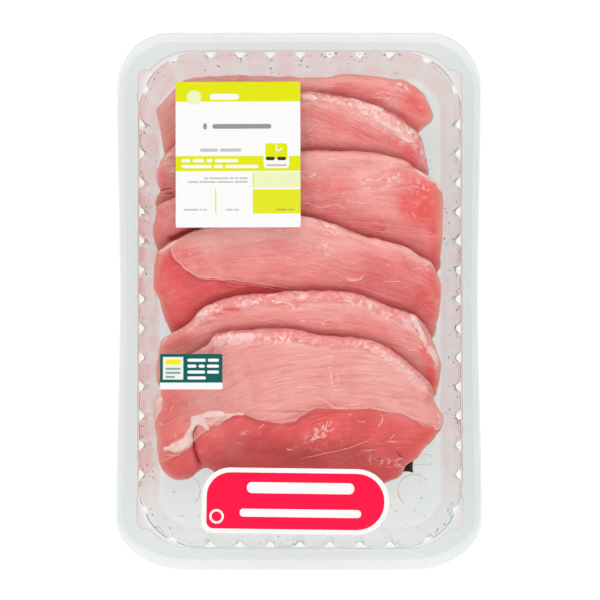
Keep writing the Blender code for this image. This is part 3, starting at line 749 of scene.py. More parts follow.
            (((-59.9, 30.3), (-53.8, 32.8), (-48.7, 34.8), (-42.6, 35.9)), 0.3, 0.9),
            (((-71.3, 22.9), (-72.5, 18.9), (-72.8, 15.4)), 0.3, 0.6),
            # painted highlight on the rounded far right edge
            (((50.4, 28.1), (56.6, 24.4), (61.8, 20.4), (66.9, 18.6)), 0.5, 0.8),
            (((23.6, 12.1), (26.2, 10.1), (30.3, 10.8), (32.3, 12.4)), 0.5, 0.8),
            (((1.6, 41.7), (4.1, 41.4), (8.2, 40.7)), 0.5, 0.7)),
        flecks=(
            (((2.1, 41.2), (12.2, 36.3), (17.3, 34.8)), 1.8, 1), (((39.2, 31.8), (46.3, 29.3)), 1.5, 0.8),
            (((12.8, 27.8), (15.9, 22.9)), 1.5, 0.8), (((61.3, 18.9), (64.4, 17.4)), 1.3, 0.8)),
        strands=(
            (((9.6, 29.6), (12.5, 27.6), (15.9, 25.6), (17.7, 23.9)), 0.20),
            (((12.5, 27.6), (13.1, 24.4), (13.6, 20.8)), 0.20),
            (((15.1, 26.1), (15.9, 23.9), (15.9, 21.5)), 0.20), (((15.6, 21.6), (18.4, 22)), 0.15),
            (((24.1, 11.8), (26.2, 10.2), (28.8, 10.3), (31.3, 11.2), (32.1, 12.4)), 0.23),
            (((41.6, 9.8), (46.7, 9.8), (51.3, 10.1)), 0.12), (((31.3, 8.1), (33.4, 7.8)), 0.17),
            (((19.5, 10.2), (21.1, 10.3)), 0.23), (((-36.8, 29.9), (-33.5, 30.3)), 0.20),
            (((-23.1, 31.2), (-20.8, 29.6), (-18.8, 30.3)), 0.17),
            (((-55.3, 23.9), (-54.3, 22.9), (-53.4, 23.5)), 0.23),
            (((-22, 19.9), (-19.4, 19.1), (-17.4, 20.4)), 0.20), (((-47.1, 23.9), (-44.3, 25.1)), 0.17),
            (((-6.1, 21.9), (-3.1, 20.9)), 0.17), (((43, 17.9), (45, 18.1)), 0.23),
            (((-63.9, 25.1), (-62.5, 20.6), (-59.2, 18.9), (-57.7, 16.4), (-54.2, 14.4), (-51.7, 12.3),
              (-47.1, 10.8), (-41.5, 11.1), (-34.8, 9.8), (-23.6, 8.2), (-10.8, 6.1), (2, 4.8)), 0.17),
            (((61.3, 18.9), (63.4, 17.4), (65.4, 18.4)), 0.17), (((53.1, 20.1), (55.6, 22.4)), 0.12),
            (((56.8, 15.4), (61.4, 16.9)), 0.15), (((-59, 27.6), (-58.5, 27.3)), 0.23))),
    dict(
        outline=((-71.2, -42.7), (-72.5, -38), (-72.3, -31.3), (-70.5, -22.2), (-69, -18.9), (-61.1, -14),
                 (-54.9, -10.2), (-49.1, -3.4), (-44, -0.8), (-28.6, 3.2), (-5.6, 5), (12.3, 5.5),
                 (24, 4.9), (32.2, 2.9), (41.5, -0.8), (50.7, -4.1), (60.5, -7.9), (64.8, -13.9), (68, -20),
                 (71.4, -28.8), (72.3, -35), (70.8, -43.8), (68.8, -49.1), (58, -61), (24, -68), (-15, -69),
                 (-47, -64), (-65, -53)),
        dark=None, grain=2, band=(-50, 66, 6.4), fair=0.5,
        pale=(
            (((-33.6, -6.8), (-18.3, -4.3), (-5.6, -3.5), (5.5, -4.3)), 0.9, 0.9),
            (((-4.5, -5.4), (3.1, -3.6), (11.8, -2.3), (23.5, -1.8), (31.1, -2.8), (41.4, -6.9)), 0.9, 0.9),
            (((8.2, -6.4), (26.1, -7.4)), 3, 0.5), (((-23.5, -7.8), (2, -7.3)), 1.5, 0.4)),
        red=(
            (((-37.7, -3.5), (-30.6, -4)), 1.5, 1), (((-41.8, -6.8), (-37.7, -6.3)), 1, 0.7),
            (((-12.2, 0.8), (-0.5, -1.2)), 2.3, 0.55), (((7.2, 2.7), (22.9, 1.7)), 2.3, 0.45),
            (((-64.6, -23), (-57.9, -18.4)), 3.3, 0.5), (((63.2, -24.2), (65.9, -29.3)), 2.8, 0.8),
            (((66.1, -35.5), (67.8, -40.7)), 2.8, 1), (((31.2, -10.9), (46.7, -18)), 3.3, 0.25)),
        shade=(
            (((-50.3, -25.1), (-46.1, -21), (-42, -16.9)), 1.5, 0.5),),
        dark_red=(
            (((56.1, -7.4), (57.5, -11.4), (60.5, -18)), 0.3, 0.8), (((46.4, -6.4), (49.6, -9.9)), 0.3, 0.5),
            (((-4.5, 3.7), (-0.9, 3.8)), 0.3, 0.7)),
        membrane=(
            (((-52.1, -11.8), (-49.4, -7.3), (-44.8, -3.8), (-40.7, -4.8)), 2.5, 1),
            (((-30.5, -2.7), (-23.4, -0.7), (-20.3, -1.2)), 2.8, 1), (((-2.5, 1.7), (4.7, 2.7)), 2, 0.9),
            (((27, 0.7), (35.2, -1.3), (42.8, -4.9)), 2.8, 0.55),
            (((50.5, -7.4), (54.2, -11.4), (57.3, -15)), 2.8, 0.8), (((-69.8, -23), (-66.1, -19)), 1, 0.7)),
        white=(
            (((-16.8, 2.2), (-14.2, 3), (-10.7, 3.4)), 0.3, 1),
            (((-13.7, 0.2), (-10.7, -0.8), (-5.6, -1), (-3.6, -2.2)), 0.5, 1),
            (((-4.5, 4.8), (0.1, 4.9), (4.1, 3.7)), 0.3, 1), (((-4.5, -2.3), (-3, -1.9)), 0.6, 1),
            (((56.0, -5.6), (59.3, -12.6), (62, -18), (64.1, -21.1)), 1.7, 1),
            (((64.1, -21.1), (67.6, -26.2), (70.4, -32.3)), 1.6, 0.8), (((61, -20.1), (63.7, -23.1)), 0.4, 0.8),
            (((-70, -22.3), (-67.1, -18.7), (-60.8, -14.6)), 0.3, 0.9),
            (((-60.6, -14.5), (-57.8, -14.5), (-55.5, -15.3), (-52.6, -12.3), (-46.9, -9.8), (-41.8, -8.5)),
             0.3, 0.9)),
        flecks=(
            (((-49.9, -5.8), (-42.7, -2.7), (-38.7, -3.8)), 1.5, 0.9), (((-31, 0.3), (-19.3, 0.8)), 2.3, 0.8),
            (((26, -1.3), (34.2, -1.8), (44.4, -6.9)), 2, 0.9), (((-4.1, -2.7), (-0.5, -4.8)), 1.5, 0.9),
            (((62.1, -22.6), (70.1, -32.9)), 1.5, 0.7)),
        strands=(
            (((11.3, -12.2), (12.6, -10.2), (15.6, -8.9), (20.5, -8.7)), 0.20),
            (((12.3, -10.2), (12.1, -12.4)), 0.17), (((14.1, -6.1), (16.6, -6.6)), 0.15),
            (((0.3, -10.2), (2.6, -10.2)), 0.20), (((7.7, -4.1), (10.8, -4.4)), 0.12),
            (((23.2, 2.8), (25, 1.9), (25.2, 0.6)), 0.23), (((26, -1.2), (28, -1.8), (31.1, -2.3)), 0.25),
            (((47.2, -20.6), (49.8, -21.1)), 0.20), (((54.5, -24.7), (58.6, -24.2), (60.7, -26)), 0.15),
            (((-10, -11.8), (-7.7, -11.3)), 0.20), (((1, -9.8), (3.3, -10.3)), 0.23),
            (((58.2, -30.3), (60.8, -31.9)), 0.20), (((47.2, -5.9), (49, -4.9), (51.5, -4.9)), 0.20),
            (((51.5, -6.9), (54.7, -10.9), (58.4, -16.5)), 0.12),
            (((49.5, -7.4), (52.7, -11.9), (56.3, -15.5)), 0.12),
            (((37.2, -4.1), (43.9, -7.6), (49.6, -11.4), (54.8, -15), (59.5, -18)), 0.17),
            (((-47.9, -4.8), (-43.7, -2.2), (-41.7, -1.2)), 0.15),
            (((-30.1, -5.5), (-26, -2.2), (-24.4, 0.8)), 0.15),
            (((68.2, -21.1), (70.8, -28.3), (71.7, -33.4)), 0.15))),
    dict(
        outline=((-72.4, -75.5), (-72.5, -69.6), (-73.3, -63.1), (-74.1, -53.8), (-72.7, -48.1), (-65, -38),
                 (-53.6, -26.1), (-45.8, -21.6), (-42.7, -17.3), (-38.6, -15.5), (-25.4, -14.2),
                 (-4.5, -13.7), (12.3, -17.1), (32.1, -18.6), (46.5, -24.2), (58.4, -33.6), (66.3, -41.6),
                 (68.5, -50), (71.3, -54.8), (73.2, -58.5), (73.1, -62.7), (68.7, -69.6), (64, -74.8),
                 (60.1, -80.1), (55, -83.2), (52.4, -88.5), (44.5, -92.7), (30, -96), (-8, -96.5),
                 (-34, -92), (-45.1, -85.7), (-49.4, -85.1), (-55.9, -90.1), (-60.3, -91.2), (-65.3, -90.1),
                 (-68.8, -87.2), (-71.5, -82)),
        dark=((-80, -86), (-66, -80), (-55, -74), (-52, -69.5), (-47.7, -65.5), (-42, -60.5), (-36, -57.5),
              (-27.7, -56.6), (-20.2, -59.7), (-9.1, -61.5), (-3, -60.6), (2, -57.2), (8, -53.8), (23, -54.3),
              (36, -53.8), (51.8, -56.4), (62, -60.9), (80, -68)),
        grain=10, band=(-50, 68, 6.6), fair=0.42, notch=((-53, -66), (-53.5, -74), (-51, -82), (-49, -88)),
        pale=(
            (((33.7, -35.4), (49, -38)), 8.3, 0.75), (((51.7, -45.7), (56.9, -48.8)), 5, 0.45),
            (((-2.8, -52.3), (7.3, -51)), 3.6, 0.5), (((37.5, -46.2), (54.4, -54.4)), 4.9, 0.5),
            (((-4.5, -22.2), (5.7, -23.5), (18.3, -23), (31, -25.2), (38.7, -28.3)), 1.1, 0.8),
            (((-28.4, -24.6), (-15.7, -23.1), (5.5, -22.1)), 1.5, 0.5),
            (((-20.9, -48), (-6.8, -45.1)), 4.8, 0.3), (((5.7, -32.9), (16.9, -38.5)), 5, 0.35),
            (((-47, -65), (-40, -71), (-34, -75)), 4.5, 0.4), (((-66, -80), (-60, -84), (-55, -82)), 6, 0.4)),
        red=(
            (((-17.2, -16.6), (-8.1, -16.1), (2, -18.1)), 1.5, 0.8),
            (((-4.5, -16.2), (5.7, -19.7), (18.3, -20.2), (27.9, -21.2)), 1.5, 0.75),
            (((-64.6, -50.1), (-65.1, -68)), 7.6, 0.65), (((-64.8, -82.5), (-56.2, -84)), 7.6, 0.75),
            (((-47.4, -70.2), (-38.9, -73.1)), 5.9, 0.6), (((66.9, -68.1), (62.3, -73.6)), 3.6, 0.6),
            (((12.7, -56.4), (19.4, -55.7)), 4, 0.6), (((42.1, -83.3), (49, -86.8)), 4, 0.5),
            (((14.8, -68.1), (10.7, -71.5)), 2.3, 0.4), (((-31.9, -79.6), (-10.5, -81.8)), 3.1, 0.35)),
        shade=(
            (((-27.4, -57.9), (-20.3, -60.8), (-6.9, -61.5), (3.7, -57.2), (15.6, -54.7)), 2.1, 0.45),
            (((-31.8, -69.4), (-17.6, -75.2), (-3.4, -79.6)), 5.5, 0.3),
            (((-49, -79.6), (-41.9, -82.5), (-31.9, -82.5)), 1.7, 0.5),
            (((24.3, -77.7), (44.8, -80.5)), 4.3, 0.25)),
        dark_red=(
            # these two follow the notch: painted shade in its crease
            (((-53.6, -69.4), (-53.3, -65.8), (-51.4, -63)), 0.4, 1),
            (((-53.3, -70.2), (-53, -75.2), (-51.3, -80.3), (-49.8, -82.5)), 0.5, 1),
            (((-67, -72.5), (-66.5, -72.8)), 0.7, 0.9),
            (((49.5, -76.3), (51.6, -78.4), (53.6, -79.8)), 0.5, 0.9),
            (((38, -80.5), (40, -80.2), (42.8, -80.5)), 0.3, 0.8), (((69.4, -58.5), (70.1, -60.5)), 0.5, 0.7)),
        membrane=(
            (((-47.7, -23.6), (-41.5, -20.1), (-33.4, -19.3), (-25.3, -18.6), (-19.2, -16.6)), 2.5, 1),
            (((34, -22.7), (43.7, -27.8), (53, -34.9), (61.4, -42.6), (65.6, -46.7)), 2, 1),
            (((69.3, -55.7), (71.7, -59.2), (69.5, -63.3)), 1.6, 0.8),
            (((-49.5, -60.5), (-43.1, -59.7), (-35.1, -57.9)), 3.0, 1)),
        white=(
            (((-68, -74.5), (-61.7, -73.6), (-55.9, -70.2), (-53.2, -62)), 2.6, 1),
            (((-54.5, -64.5), (-52.4, -60.5), (-46.6, -56.8)), 2.8, 1),
            (((-52.5, -59), (-49, -60.5), (-46.4, -64)), 3.4, 1),
            (((-49.3, -57.2), (-41.5, -56.5), (-35.8, -57.2)), 1.5, 0.9),
            (((-38.7, -60.1), (-34.4, -57.2), (-30.2, -56.5), (-27, -57.2)), 0.7, 0.9),
            (((-70.1, -44.1), (-71.2, -52.2), (-72.4, -59.2)), 2.4, 0.85),
            (((67.5, -63.3), (70.2, -64.6), (71.8, -61.2)), 0.5, 0.9)),
        flecks=(
            (((-16.7, -20.1), (-8.1, -18.6), (-0.5, -20.1)), 1.5, 1), (((12.7, -63.3), (8, -70.1)), 3, 1),
            (((31, -21.2), (40.2, -25.2)), 1.8, 0.7), (((38, -79.8), (51.7, -83.3)), 2, 0.6),
            (((-45.5, -19.1), (-41.5, -17.1), (-28.3, -16.1)), 1.3, 0.8)),
        strands=(
            (((39.2, -28.4), (46.4, -31.9), (54.1, -37), (61.4, -43.2), (66.4, -48)), 0.28),
            (((40.1, -24.5), (46.8, -28.5), (53, -33.5), (58.2, -38.6), (63.5, -43.7)), 0.15),
            (((44.2, -24.3), (49.4, -29.9), (55.6, -35.5), (61.9, -41.1)), 0.12),
            (((32, -20.3), (38.6, -23.3), (44.2, -26.4)), 0.12),
            (((48.3, -28.3), (54, -32.9), (60.3, -39.8)), 0.12),
            (((41.2, -27), (49.4, -31.8), (56.7, -38)), 0.12),
            (((50.1, -55.5), (55.2, -57.8), (62, -61.9), (67.8, -64.6)), 0.23),
            (((8.1, -48.3), (12.6, -49.6), (16.8, -52.5)), 0.29),
            (((17, -53), (19.4, -53.7), (23.6, -53.4)), 0.33),
            (((41, -57.2), (42.5, -58.1), (41.7, -61.2), (39.5, -63.6)), 0.27),
            (((24.5, -56.8), (26.5, -57.2)), 0.27), (((28.4, -59.8), (30.9, -60.7), (33.6, -60.4)), 0.17),
            (((-0.1, -80), (3.9, -79.1), (12.8, -76.9), (18.9, -75.7), (25.7, -73.9), (32.4, -71.2),
              (37.1, -69.4)), 0.20),
            (((-6.6, -74.6), (-3.9, -75.3)), 0.33), (((43.9, -70.8), (48, -70.8), (50, -70.5)), 0.20),
            (((48.3, -67.2), (45.6, -70.1)), 0.17), (((4.9, -71.5), (8.7, -66.3), (13.4, -63.3)), 0.23),
            (((5.6, -70.5), (10.7, -67.7), (14.1, -64.6)), 0.17),
            (((7.3, -70.1), (10, -65.7), (12, -63.9)), 0.17), (((31.1, -75.7), (38.9, -74.8)), 0.20),
            (((38, -79.8), (40, -80.5), (42.4, -80.5)), 0.23),
            (((48.9, -80.5), (52.3, -79.1), (54, -80.5)), 0.23), (((-20.4, -64), (-17.5, -61.7)), 0.24),
            (((-30, -67.6), (-26.7, -65.5)), 0.24), (((-29.2, -65.8), (-27.1, -67.3)), 0.20),
            (((-32.5, -70.9), (-27.5, -72.5)), 0.20), (((-5.9, -74.5), (-3.4, -75.2)), 0.31),
            (((-64.7, -54.7), (-62.9, -52.2)), 0.20), (((-54.7, -49), (-54.7, -53)), 0.17),
            (((-62.9, -65.8), (-61.9, -68.7)), 0.24), (((-70.6, -60.8), (-68.5, -62.6)), 0.20),
            (((-67.5, -78.1), (-65.3, -77.4), (-62.5, -78.5)), 0.17),
            # the strands from here to the one at (14.6, -33.4) are partly sinew and partly painted highlights:
            # glints on the wet face
            (((-3.3, -43.9), (3.7, -42.7), (10.7, -43.4)), 0.17),
            (((-3.5, -43.2), (2.5, -42.7), (8.6, -43.2)), 0.17),
            (((14.6, -44.3), (19.3, -44.8), (24, -44.2)), 0.20), (((16.3, -40.2), (16.3, -42.9)), 0.40),
            (((16.1, -35.7), (16.2, -39.8)), 0.40), (((19.4, -36.7), (19.4, -40)), 0.25),
            (((14.1, -44.1), (18, -44.6), (22.8, -44.2)), 0.20),
            (((-4, -43.1), (1.6, -42.8), (7.7, -43.2)), 0.15), (((1.4, -34.4), (5.7, -34.6)), 0.15),
            (((14.6, -33.4), (16.1, -33.1)), 0.40), (((61.8, -38), (66.5, -43.6), (67.6, -46.7)), 0.17))),
)


def smooth_loop(points, count):
    """Evenly spaced points on the closed Catmull-Rom curve through the given points."""
    p = np.array(points, float)
    t = np.linspace(0, 1, 24, endpoint=False)[:, None]
    p0, p1, p2, p3 = (np.roll(p, 1 - k, axis=0) for k in range(4))
    fine = [0.5 * (2 * b + (c - a) * t + (2 * a - 5 * b + 4 * c - d) * t ** 2
                   + (3 * b - a - 3 * c + d) * t ** 3)
            for a, b, c, d in zip(p0, p1, p2, p3)]
    fine = np.concatenate(fine)
    gaps = np.linalg.norm(np.roll(fine, -1, axis=0) - fine, axis=1)
    length = np.concatenate([[0], np.cumsum(gaps)])
    wanted = np.linspace(0, length[-1], count, endpoint=False)
    closed = np.concatenate([fine, fine[:1]])
    return np.stack([np.interp(wanted, length, closed[:, k]) for k in (0, 1)], axis=1)


def line_distance(points, line):
    """Distance from each point to a polyline, signed: positive on the line's right, seen from above."""
    best = np.full(len(points), 1e9)
    signed = np.zeros(len(points))
    line = np.array(line, float)
    for a, b in zip(line, line[1:]):
        along = b - a
        share = np.clip(((points - a) @ along) / (along @ along), 0, 1)
        offset = points - (a + share[:, None] * along)
        distance = np.linalg.norm(offset, axis=1)
        side = np.sign(along[1] * offset[:, 0] - along[0] * offset[:, 1])
        closer = distance < best
        best = np.where(closer, distance, best)
        signed = np.where(closer, distance * np.where(side == 0, 1, side), signed)
    return signed


def field(points, size, seed, detail=2):
    """Smooth noise from about -1 to 1 at each point; size is the width of its patches in millimetres."""
    shift = Vector((seed * 7.31, seed * 3.17, seed * 5.03))
    return np.array([noise.fractal(Vector(p) / size + shift, 1.0, 2.0, detail) for p in points])


def soft_strokes(points, strokes):
    """Strokes that fade out from their middle lines, a little stronger where they overlap."""
    total = np.zeros(len(points))
    for line, half_width, strength in strokes:
        away = np.abs(line_distance(points, line)) / (half_width * 1.25)
        stroke = strength * np.exp(-away ** 2)
        total = np.maximum(total, stroke) + 0.25 * np.minimum(total, stroke)
    return total


def firm_strokes(points, strokes, edge=0.9):
    """Strokes with an edge: 0.5 at their border, falling to 0 over an edge's width."""
    total = np.zeros(len(points))
    for line, half_width, strength in strokes:
        away = np.abs(line_distance(points, line))
        ends = [np.linalg.norm(points - np.array(line[k]), axis=1) for k in (0, -1)]
        narrowed = half_width * np.clip(np.minimum(*ends) / (half_width * 2.2), 0.35, 1.0)
        total = np.maximum(total, strength * np.clip(0.5 + (narrowed - away) / edge, 0, 1))
    return total


def slice_mesh(number, facts):
    """A slab through the outline; its points carry the measures that the material reads."""
    low_y = (FIRST_LOW_Y - (number - 1) * SLICE_PITCH) / MM
    half = SLICE_THICKNESS / MM / 2
    base = SLICE_BASE_Z / MM

    def middle(y):
        return base + half + SLICE_SLOPE * (y - low_y)

    outline = smooth_loop(facts["outline"], OUTLINE_POINTS)
    width = outline[:, 0].max() - outline[:, 0].min()
    depth = outline[:, 1].max() - outline[:, 1].min()
    centre_y = (outline[:, 1].max() + outline[:, 1].min()) / 2
    spine_half = (width - depth) / 2
    spine = np.clip(outline[:, 0], -spine_half, spine_half)
    target = np.stack([spine, np.full(OUTLINE_POINTS, centre_y)], axis=1)
    inwards = target - outline
    reach = np.linalg.norm(inwards, axis=1)
    inwards /= reach[:, None]
    # the cut edge isn't quite even: it pulls in by up to half a millimetre
    uneven = field(np.column_stack([outline, np.full(OUTLINE_POINTS, number * 40.0)]), 6.0, number, 3)
    outline = outline + inwards * np.clip(0.15 + 0.3 * uneven, 0, 0.6)[:, None]

    edge_angles = np.radians([90, 82, 73, 63, 52, 40, 28, 14, 0, -16, -32, -48, -64, -78, -90])
    rings = [("top", share, 0.0, 1.0) for share in np.linspace(0.985, 0.0, 50, endpoint=False)]
    for angle in edge_angles:
        bulge = 1 - abs(math.cos(angle)) ** (0.9 if angle > 0 else 0.8)
        rings.append(("edge", 0.0, bulge, math.copysign(abs(math.sin(angle)) ** 0.8, angle)))
    rings += [("bottom", share, 0.0, -1.0) for share in np.linspace(0.985, 0.0, 9, endpoint=False)[::-1]]
    points, inset, face = [], [], []
    for kind, share, bulge, lift in rings:
        moved = outline + inwards * (half * (bulge if kind == "edge" else 1.0))
        moved = moved + (target - moved) * share
        points.append(np.column_stack([moved, middle(moved[:, 1]) + half * lift]))
        at_edge = np.full(OUTLINE_POINTS, half * bulge)
        inset.append(at_edge if kind == "edge" else half + (reach - half) * share)
        face.append(np.full(OUTLINE_POINTS, lift))
    points, inset, face = (np.concatenate(part) for part in (points, inset, face))
    flat = points[:, :2]
    seed = number * 11.0

    # measures for the material
    swell = field(points, 22.0, seed, 2)
    small = field(points, 5.5, seed + 5, 3)
    dark = line_distance(flat, facts["dark"]) if facts["dark"] else np.full(len(points), -30.0)
    # fat, and painted highlights along some rims
    white = firm_strokes(flat, facts.get("white", ()))
    skin = firm_strokes(flat, facts.get("membrane", ()), 1.6)
    # dark red strokes: blood, and painted shade in creases
    blood = firm_strokes(flat, facts.get("dark_red", ()), 0.8)
    pale = np.maximum(soft_strokes(flat, facts.get("pale", ())), facts["fair"] * np.clip(0.5 - dark / 2, 0, 1))
    red = soft_strokes(flat, facts.get("red", ()))
    flecks = soft_strokes(flat, facts.get("flecks", ()))
    # painted shade along the shade strokes
    shade = 0.8 * soft_strokes(flat, facts.get("shade", ()))
    far = np.clip((flat[:, 1] - centre_y) / 6 + 0.5, 0, 1)
    band = np.zeros(len(points))
    if facts["band"]:
        start, end, wide = facts["band"]
        ends = np.clip((flat[:, 0] - start) / 8 + 0.5, 0, 1) * np.clip((end - flat[:, 0]) / 5 + 0.5, 0, 1)
        reach_in = wide - 0.6 + 0.9 * small
        band = far * ends * np.clip((reach_in - inset) / 1.2 + 0.5, 0, 1) * (face > -0.5)
        # painted highlight on the ridge where the face meets the skin band
        ridge_highlight = np.exp(-((inset - wide - 0.5 - 0.6 * small) / 0.9) ** 2) * ends * far
        pale = np.maximum(pale, (0.75 + 0.3 * swell) * ridge_highlight)
    else:
        # painted highlight just inside the far edge
        ridge_highlight = np.exp(-((inset - 2.6) / 1.4) ** 2) * far
        pale = np.maximum(pale, (0.5 + 0.4 * swell) * ridge_highlight)
    # painted shade on this slice next to the edge of the slice lying on it
    if number < len(SLICES):
        above = smooth_loop(SLICES[number]["outline"], 160)
        above = np.concatenate([above, above[:1]])
        away = np.maximum(0.0, -line_distance(flat, above))
        soft = CONTACT_SHADOWS[number - 1] * np.exp(-(away / 8.5) ** 1.6)
        shade = np.maximum(shade, 0.50 * np.exp(-away / 0.8) + soft)
    # painted glow: the rounded edges, most of all at the slices' ends, are coloured bright orange as if lit
    # through
    at_ends = np.clip((np.abs(flat[:, 0]) - 50) / 12, 0, 1)
    glow = np.exp(-inset / 1.7) * np.clip(face * 1.2 + 0.4, 0, 1) * (0.25 + 0.75 * at_ends) * (1 - band)
    turn = math.radians(facts["grain"]) + np.where(dark > 0, math.radians(14), 0.0)
    bend = 0.0035 * flat[:, 0] ** 2
    grain = np.column_stack([flat[:, 0] * np.cos(turn) + (flat[:, 1] + bend) * np.sin(turn),
                             (flat[:, 1] + bend) * np.cos(turn) - flat[:, 0] * np.sin(turn),
                             points[:, 2]])

    # relief: hollows in the upper face, a step down into the dark muscle, raised fat, lumpy skin
    upper = np.clip(face, 0, 1)
    drop = upper * (0.75 + 0.75 * swell + 0.28 * small)
    drop += upper * 0.9 * np.clip(dark / 1.6, 0, 1) * np.clip(1.4 - dark / 30, 0.3, 1)
    drop -= upper * 0.5 * white
    drop += upper * 1.4 * blood
    drop += upper * np.clip(1 - inset / 9, 0, 1) * 0.4
    if "notch" in facts:
        drop += upper * 3.0 * np.exp(-(line_distance(flat, facts["notch"]) / 1.1) ** 2)
    points[:, 2] -= np.clip(drop, 0.0, 5.0)
    side = (1 - np.abs(face)) * 0.7 * small + band * 0.35 * small
    points[:, :2] += np.tile(inwards, (len(rings), 1)) * np.clip(0.1 + side, 0, 1.0)[:, None] * (
        np.abs(face) < 0.99)[:, None]
    points[:, 2] = np.maximum(points[:, 2], base)

    rows = points.reshape(len(rings), OUTLINE_POINTS, 3) * MM
    mesh = rings_mesh(f"pork_{number}", [list(map(tuple, row)) for row in rows], cap_first=True)
    for name, values in (("dark", dark), ("white", white), ("skin", skin), ("blood", blood), ("pale", pale),
                         ("red", red), ("flecks", flecks), ("shade", shade), ("band", band), ("glow", glow)):
        point_values(mesh, name, values)
    layer = mesh.attributes.new("grain", "FLOAT_VECTOR", "POINT")
    layer.data.foreach_set("vector", grain.astype(np.float32).ravel())
    return mesh


def mottled_tone():
    """Cloudy patches of two colours, as in wet muscle, fat and sinew."""
    group, given, result = new_group("mottled_tone", (
        ("First Colour", "Color"), ("Second Colour", "Color"), ("Scale", "Float"), ("Detail", "Float"),
        ("Distortion", "Float"), ("From", "Float"), ("To", "Float")), (("Tone", "Color"),))
    place = group.nodes.new("ShaderNodeTexCoord")
    patches = group.nodes.new("ShaderNodeTexNoise")
    group.links.new(place.outputs["Object"], patches.inputs["Vector"])
    for name in ("Scale", "Detail", "Distortion"):
        group.links.new(given[name], patches.inputs[name])
    share = group.nodes.new("ShaderNodeMapRange")
    share.interpolation_type = "SMOOTHSTEP"
    group.links.new(patches.outputs["Fac"], share.inputs["Value"])
    group.links.new(given["From"], share.inputs["From Min"])
    group.links.new(given["To"], share.inputs["From Max"])
    tone = group.nodes.new("ShaderNodeMix")
    tone.data_type = "RGBA"
    group.links.new(share.outputs["Result"], tone.inputs["Factor"])
    group.links.new(given["First Colour"], tone.inputs[6])
    group.links.new(given["Second Colour"], tone.inputs[7])
    group.links.new(tone.outputs[2], result["Tone"])
    return group


MOTTLED = mottled_tone()


def mottled(nodes, first, second, scale, detail, distortion, low, high):
    """Puts the mottled tone into a material and returns its colour."""
    return place_group(nodes, MOTTLED, {
        "First Colour": (*first, 1.0), "Second Colour": (*second, 1.0), "Scale": scale, "Detail": detail,
        "Distortion": distortion, "From": low, "To": high})["Tone"]


def shader_tools(nodes, links):
    """Short ways to make the nodes of a material."""
    def attribute(name):
        node = nodes.new("ShaderNodeAttribute")
        node.attribute_name = name
        return node.outputs["Vector" if name == "grain" else "Fac"]

    def maths(operation, a, b=0.0, clamp=False):
        node = nodes.new("ShaderNodeMath")
        node.operation = operation
        node.use_clamp = clamp
        for socket, value in zip(node.inputs, (a, b)):
            if isinstance(value, (int, float)):
                socket.default_value = value
            else:
                links.new(value, socket)
        return node.outputs[0]

    def remap(value, low, high):
        node = nodes.new("ShaderNodeMapRange")
        node.interpolation_type = "SMOOTHSTEP"
        links.new(value, node.inputs["Value"])
        node.inputs["From Min"].default_value = low
        node.inputs["From Max"].default_value = high
        return node.outputs["Result"]

    def noise_of(vector, scale, detail=3.0, stretch=(1, 1, 1), distortion=0.0):
        size = nodes.new("ShaderNodeMapping")
        size.inputs["Scale"].default_value = stretch
        links.new(vector, size.inputs["Vector"])
        node = nodes.new("ShaderNodeTexNoise")
        node.inputs["Scale"].default_value = scale
        node.inputs["Detail"].default_value = detail
        node.inputs["Distortion"].default_value = distortion
        links.new(size.outputs["Vector"], node.inputs["Vector"])
        return node.outputs["Fac"]

    def blend(fac, a, b):
        node = nodes.new("ShaderNodeMix")
        node.data_type = "RGBA"
        if isinstance(fac, (int, float)):
            node.inputs["Factor"].default_value = fac
        else:
            links.new(fac, node.inputs["Factor"])
        for socket, value in ((node.inputs[6], a), (node.inputs[7], b)):
            if isinstance(value, tuple):
                socket.default_value = (*value, 1.0)
            else:
                links.new(value, socket)
        return node.outputs[2]

    return attribute, maths, remap, noise_of, blend


PALE_FLESH = ((0.82, 0.285, 0.262), (0.755, 0.207, 0.193))
DARK_FLESH = ((0.77, 0.100, 0.100), (0.68, 0.068, 0.071))
SILVERSKIN = ((0.77, 0.23, 0.22), (0.85, 0.36, 0.34))
THIN_SKIN = ((0.85, 0.42, 0.40), (0.93, 0.61, 0.58))
FAT = ((0.91, 0.66, 0.61), (0.85, 0.53, 0.49))
SINEW = ((0.93, 0.60, 0.53), (0.87, 0.42, 0.38))
FIBRE_LIGHT = (0.92, 0.52, 0.47)
PAINTED_SHADE = (0.54, 0.060, 0.068)
BLOOD_AND_CREASE_SHADE = (0.33, 0.012, 0.02)


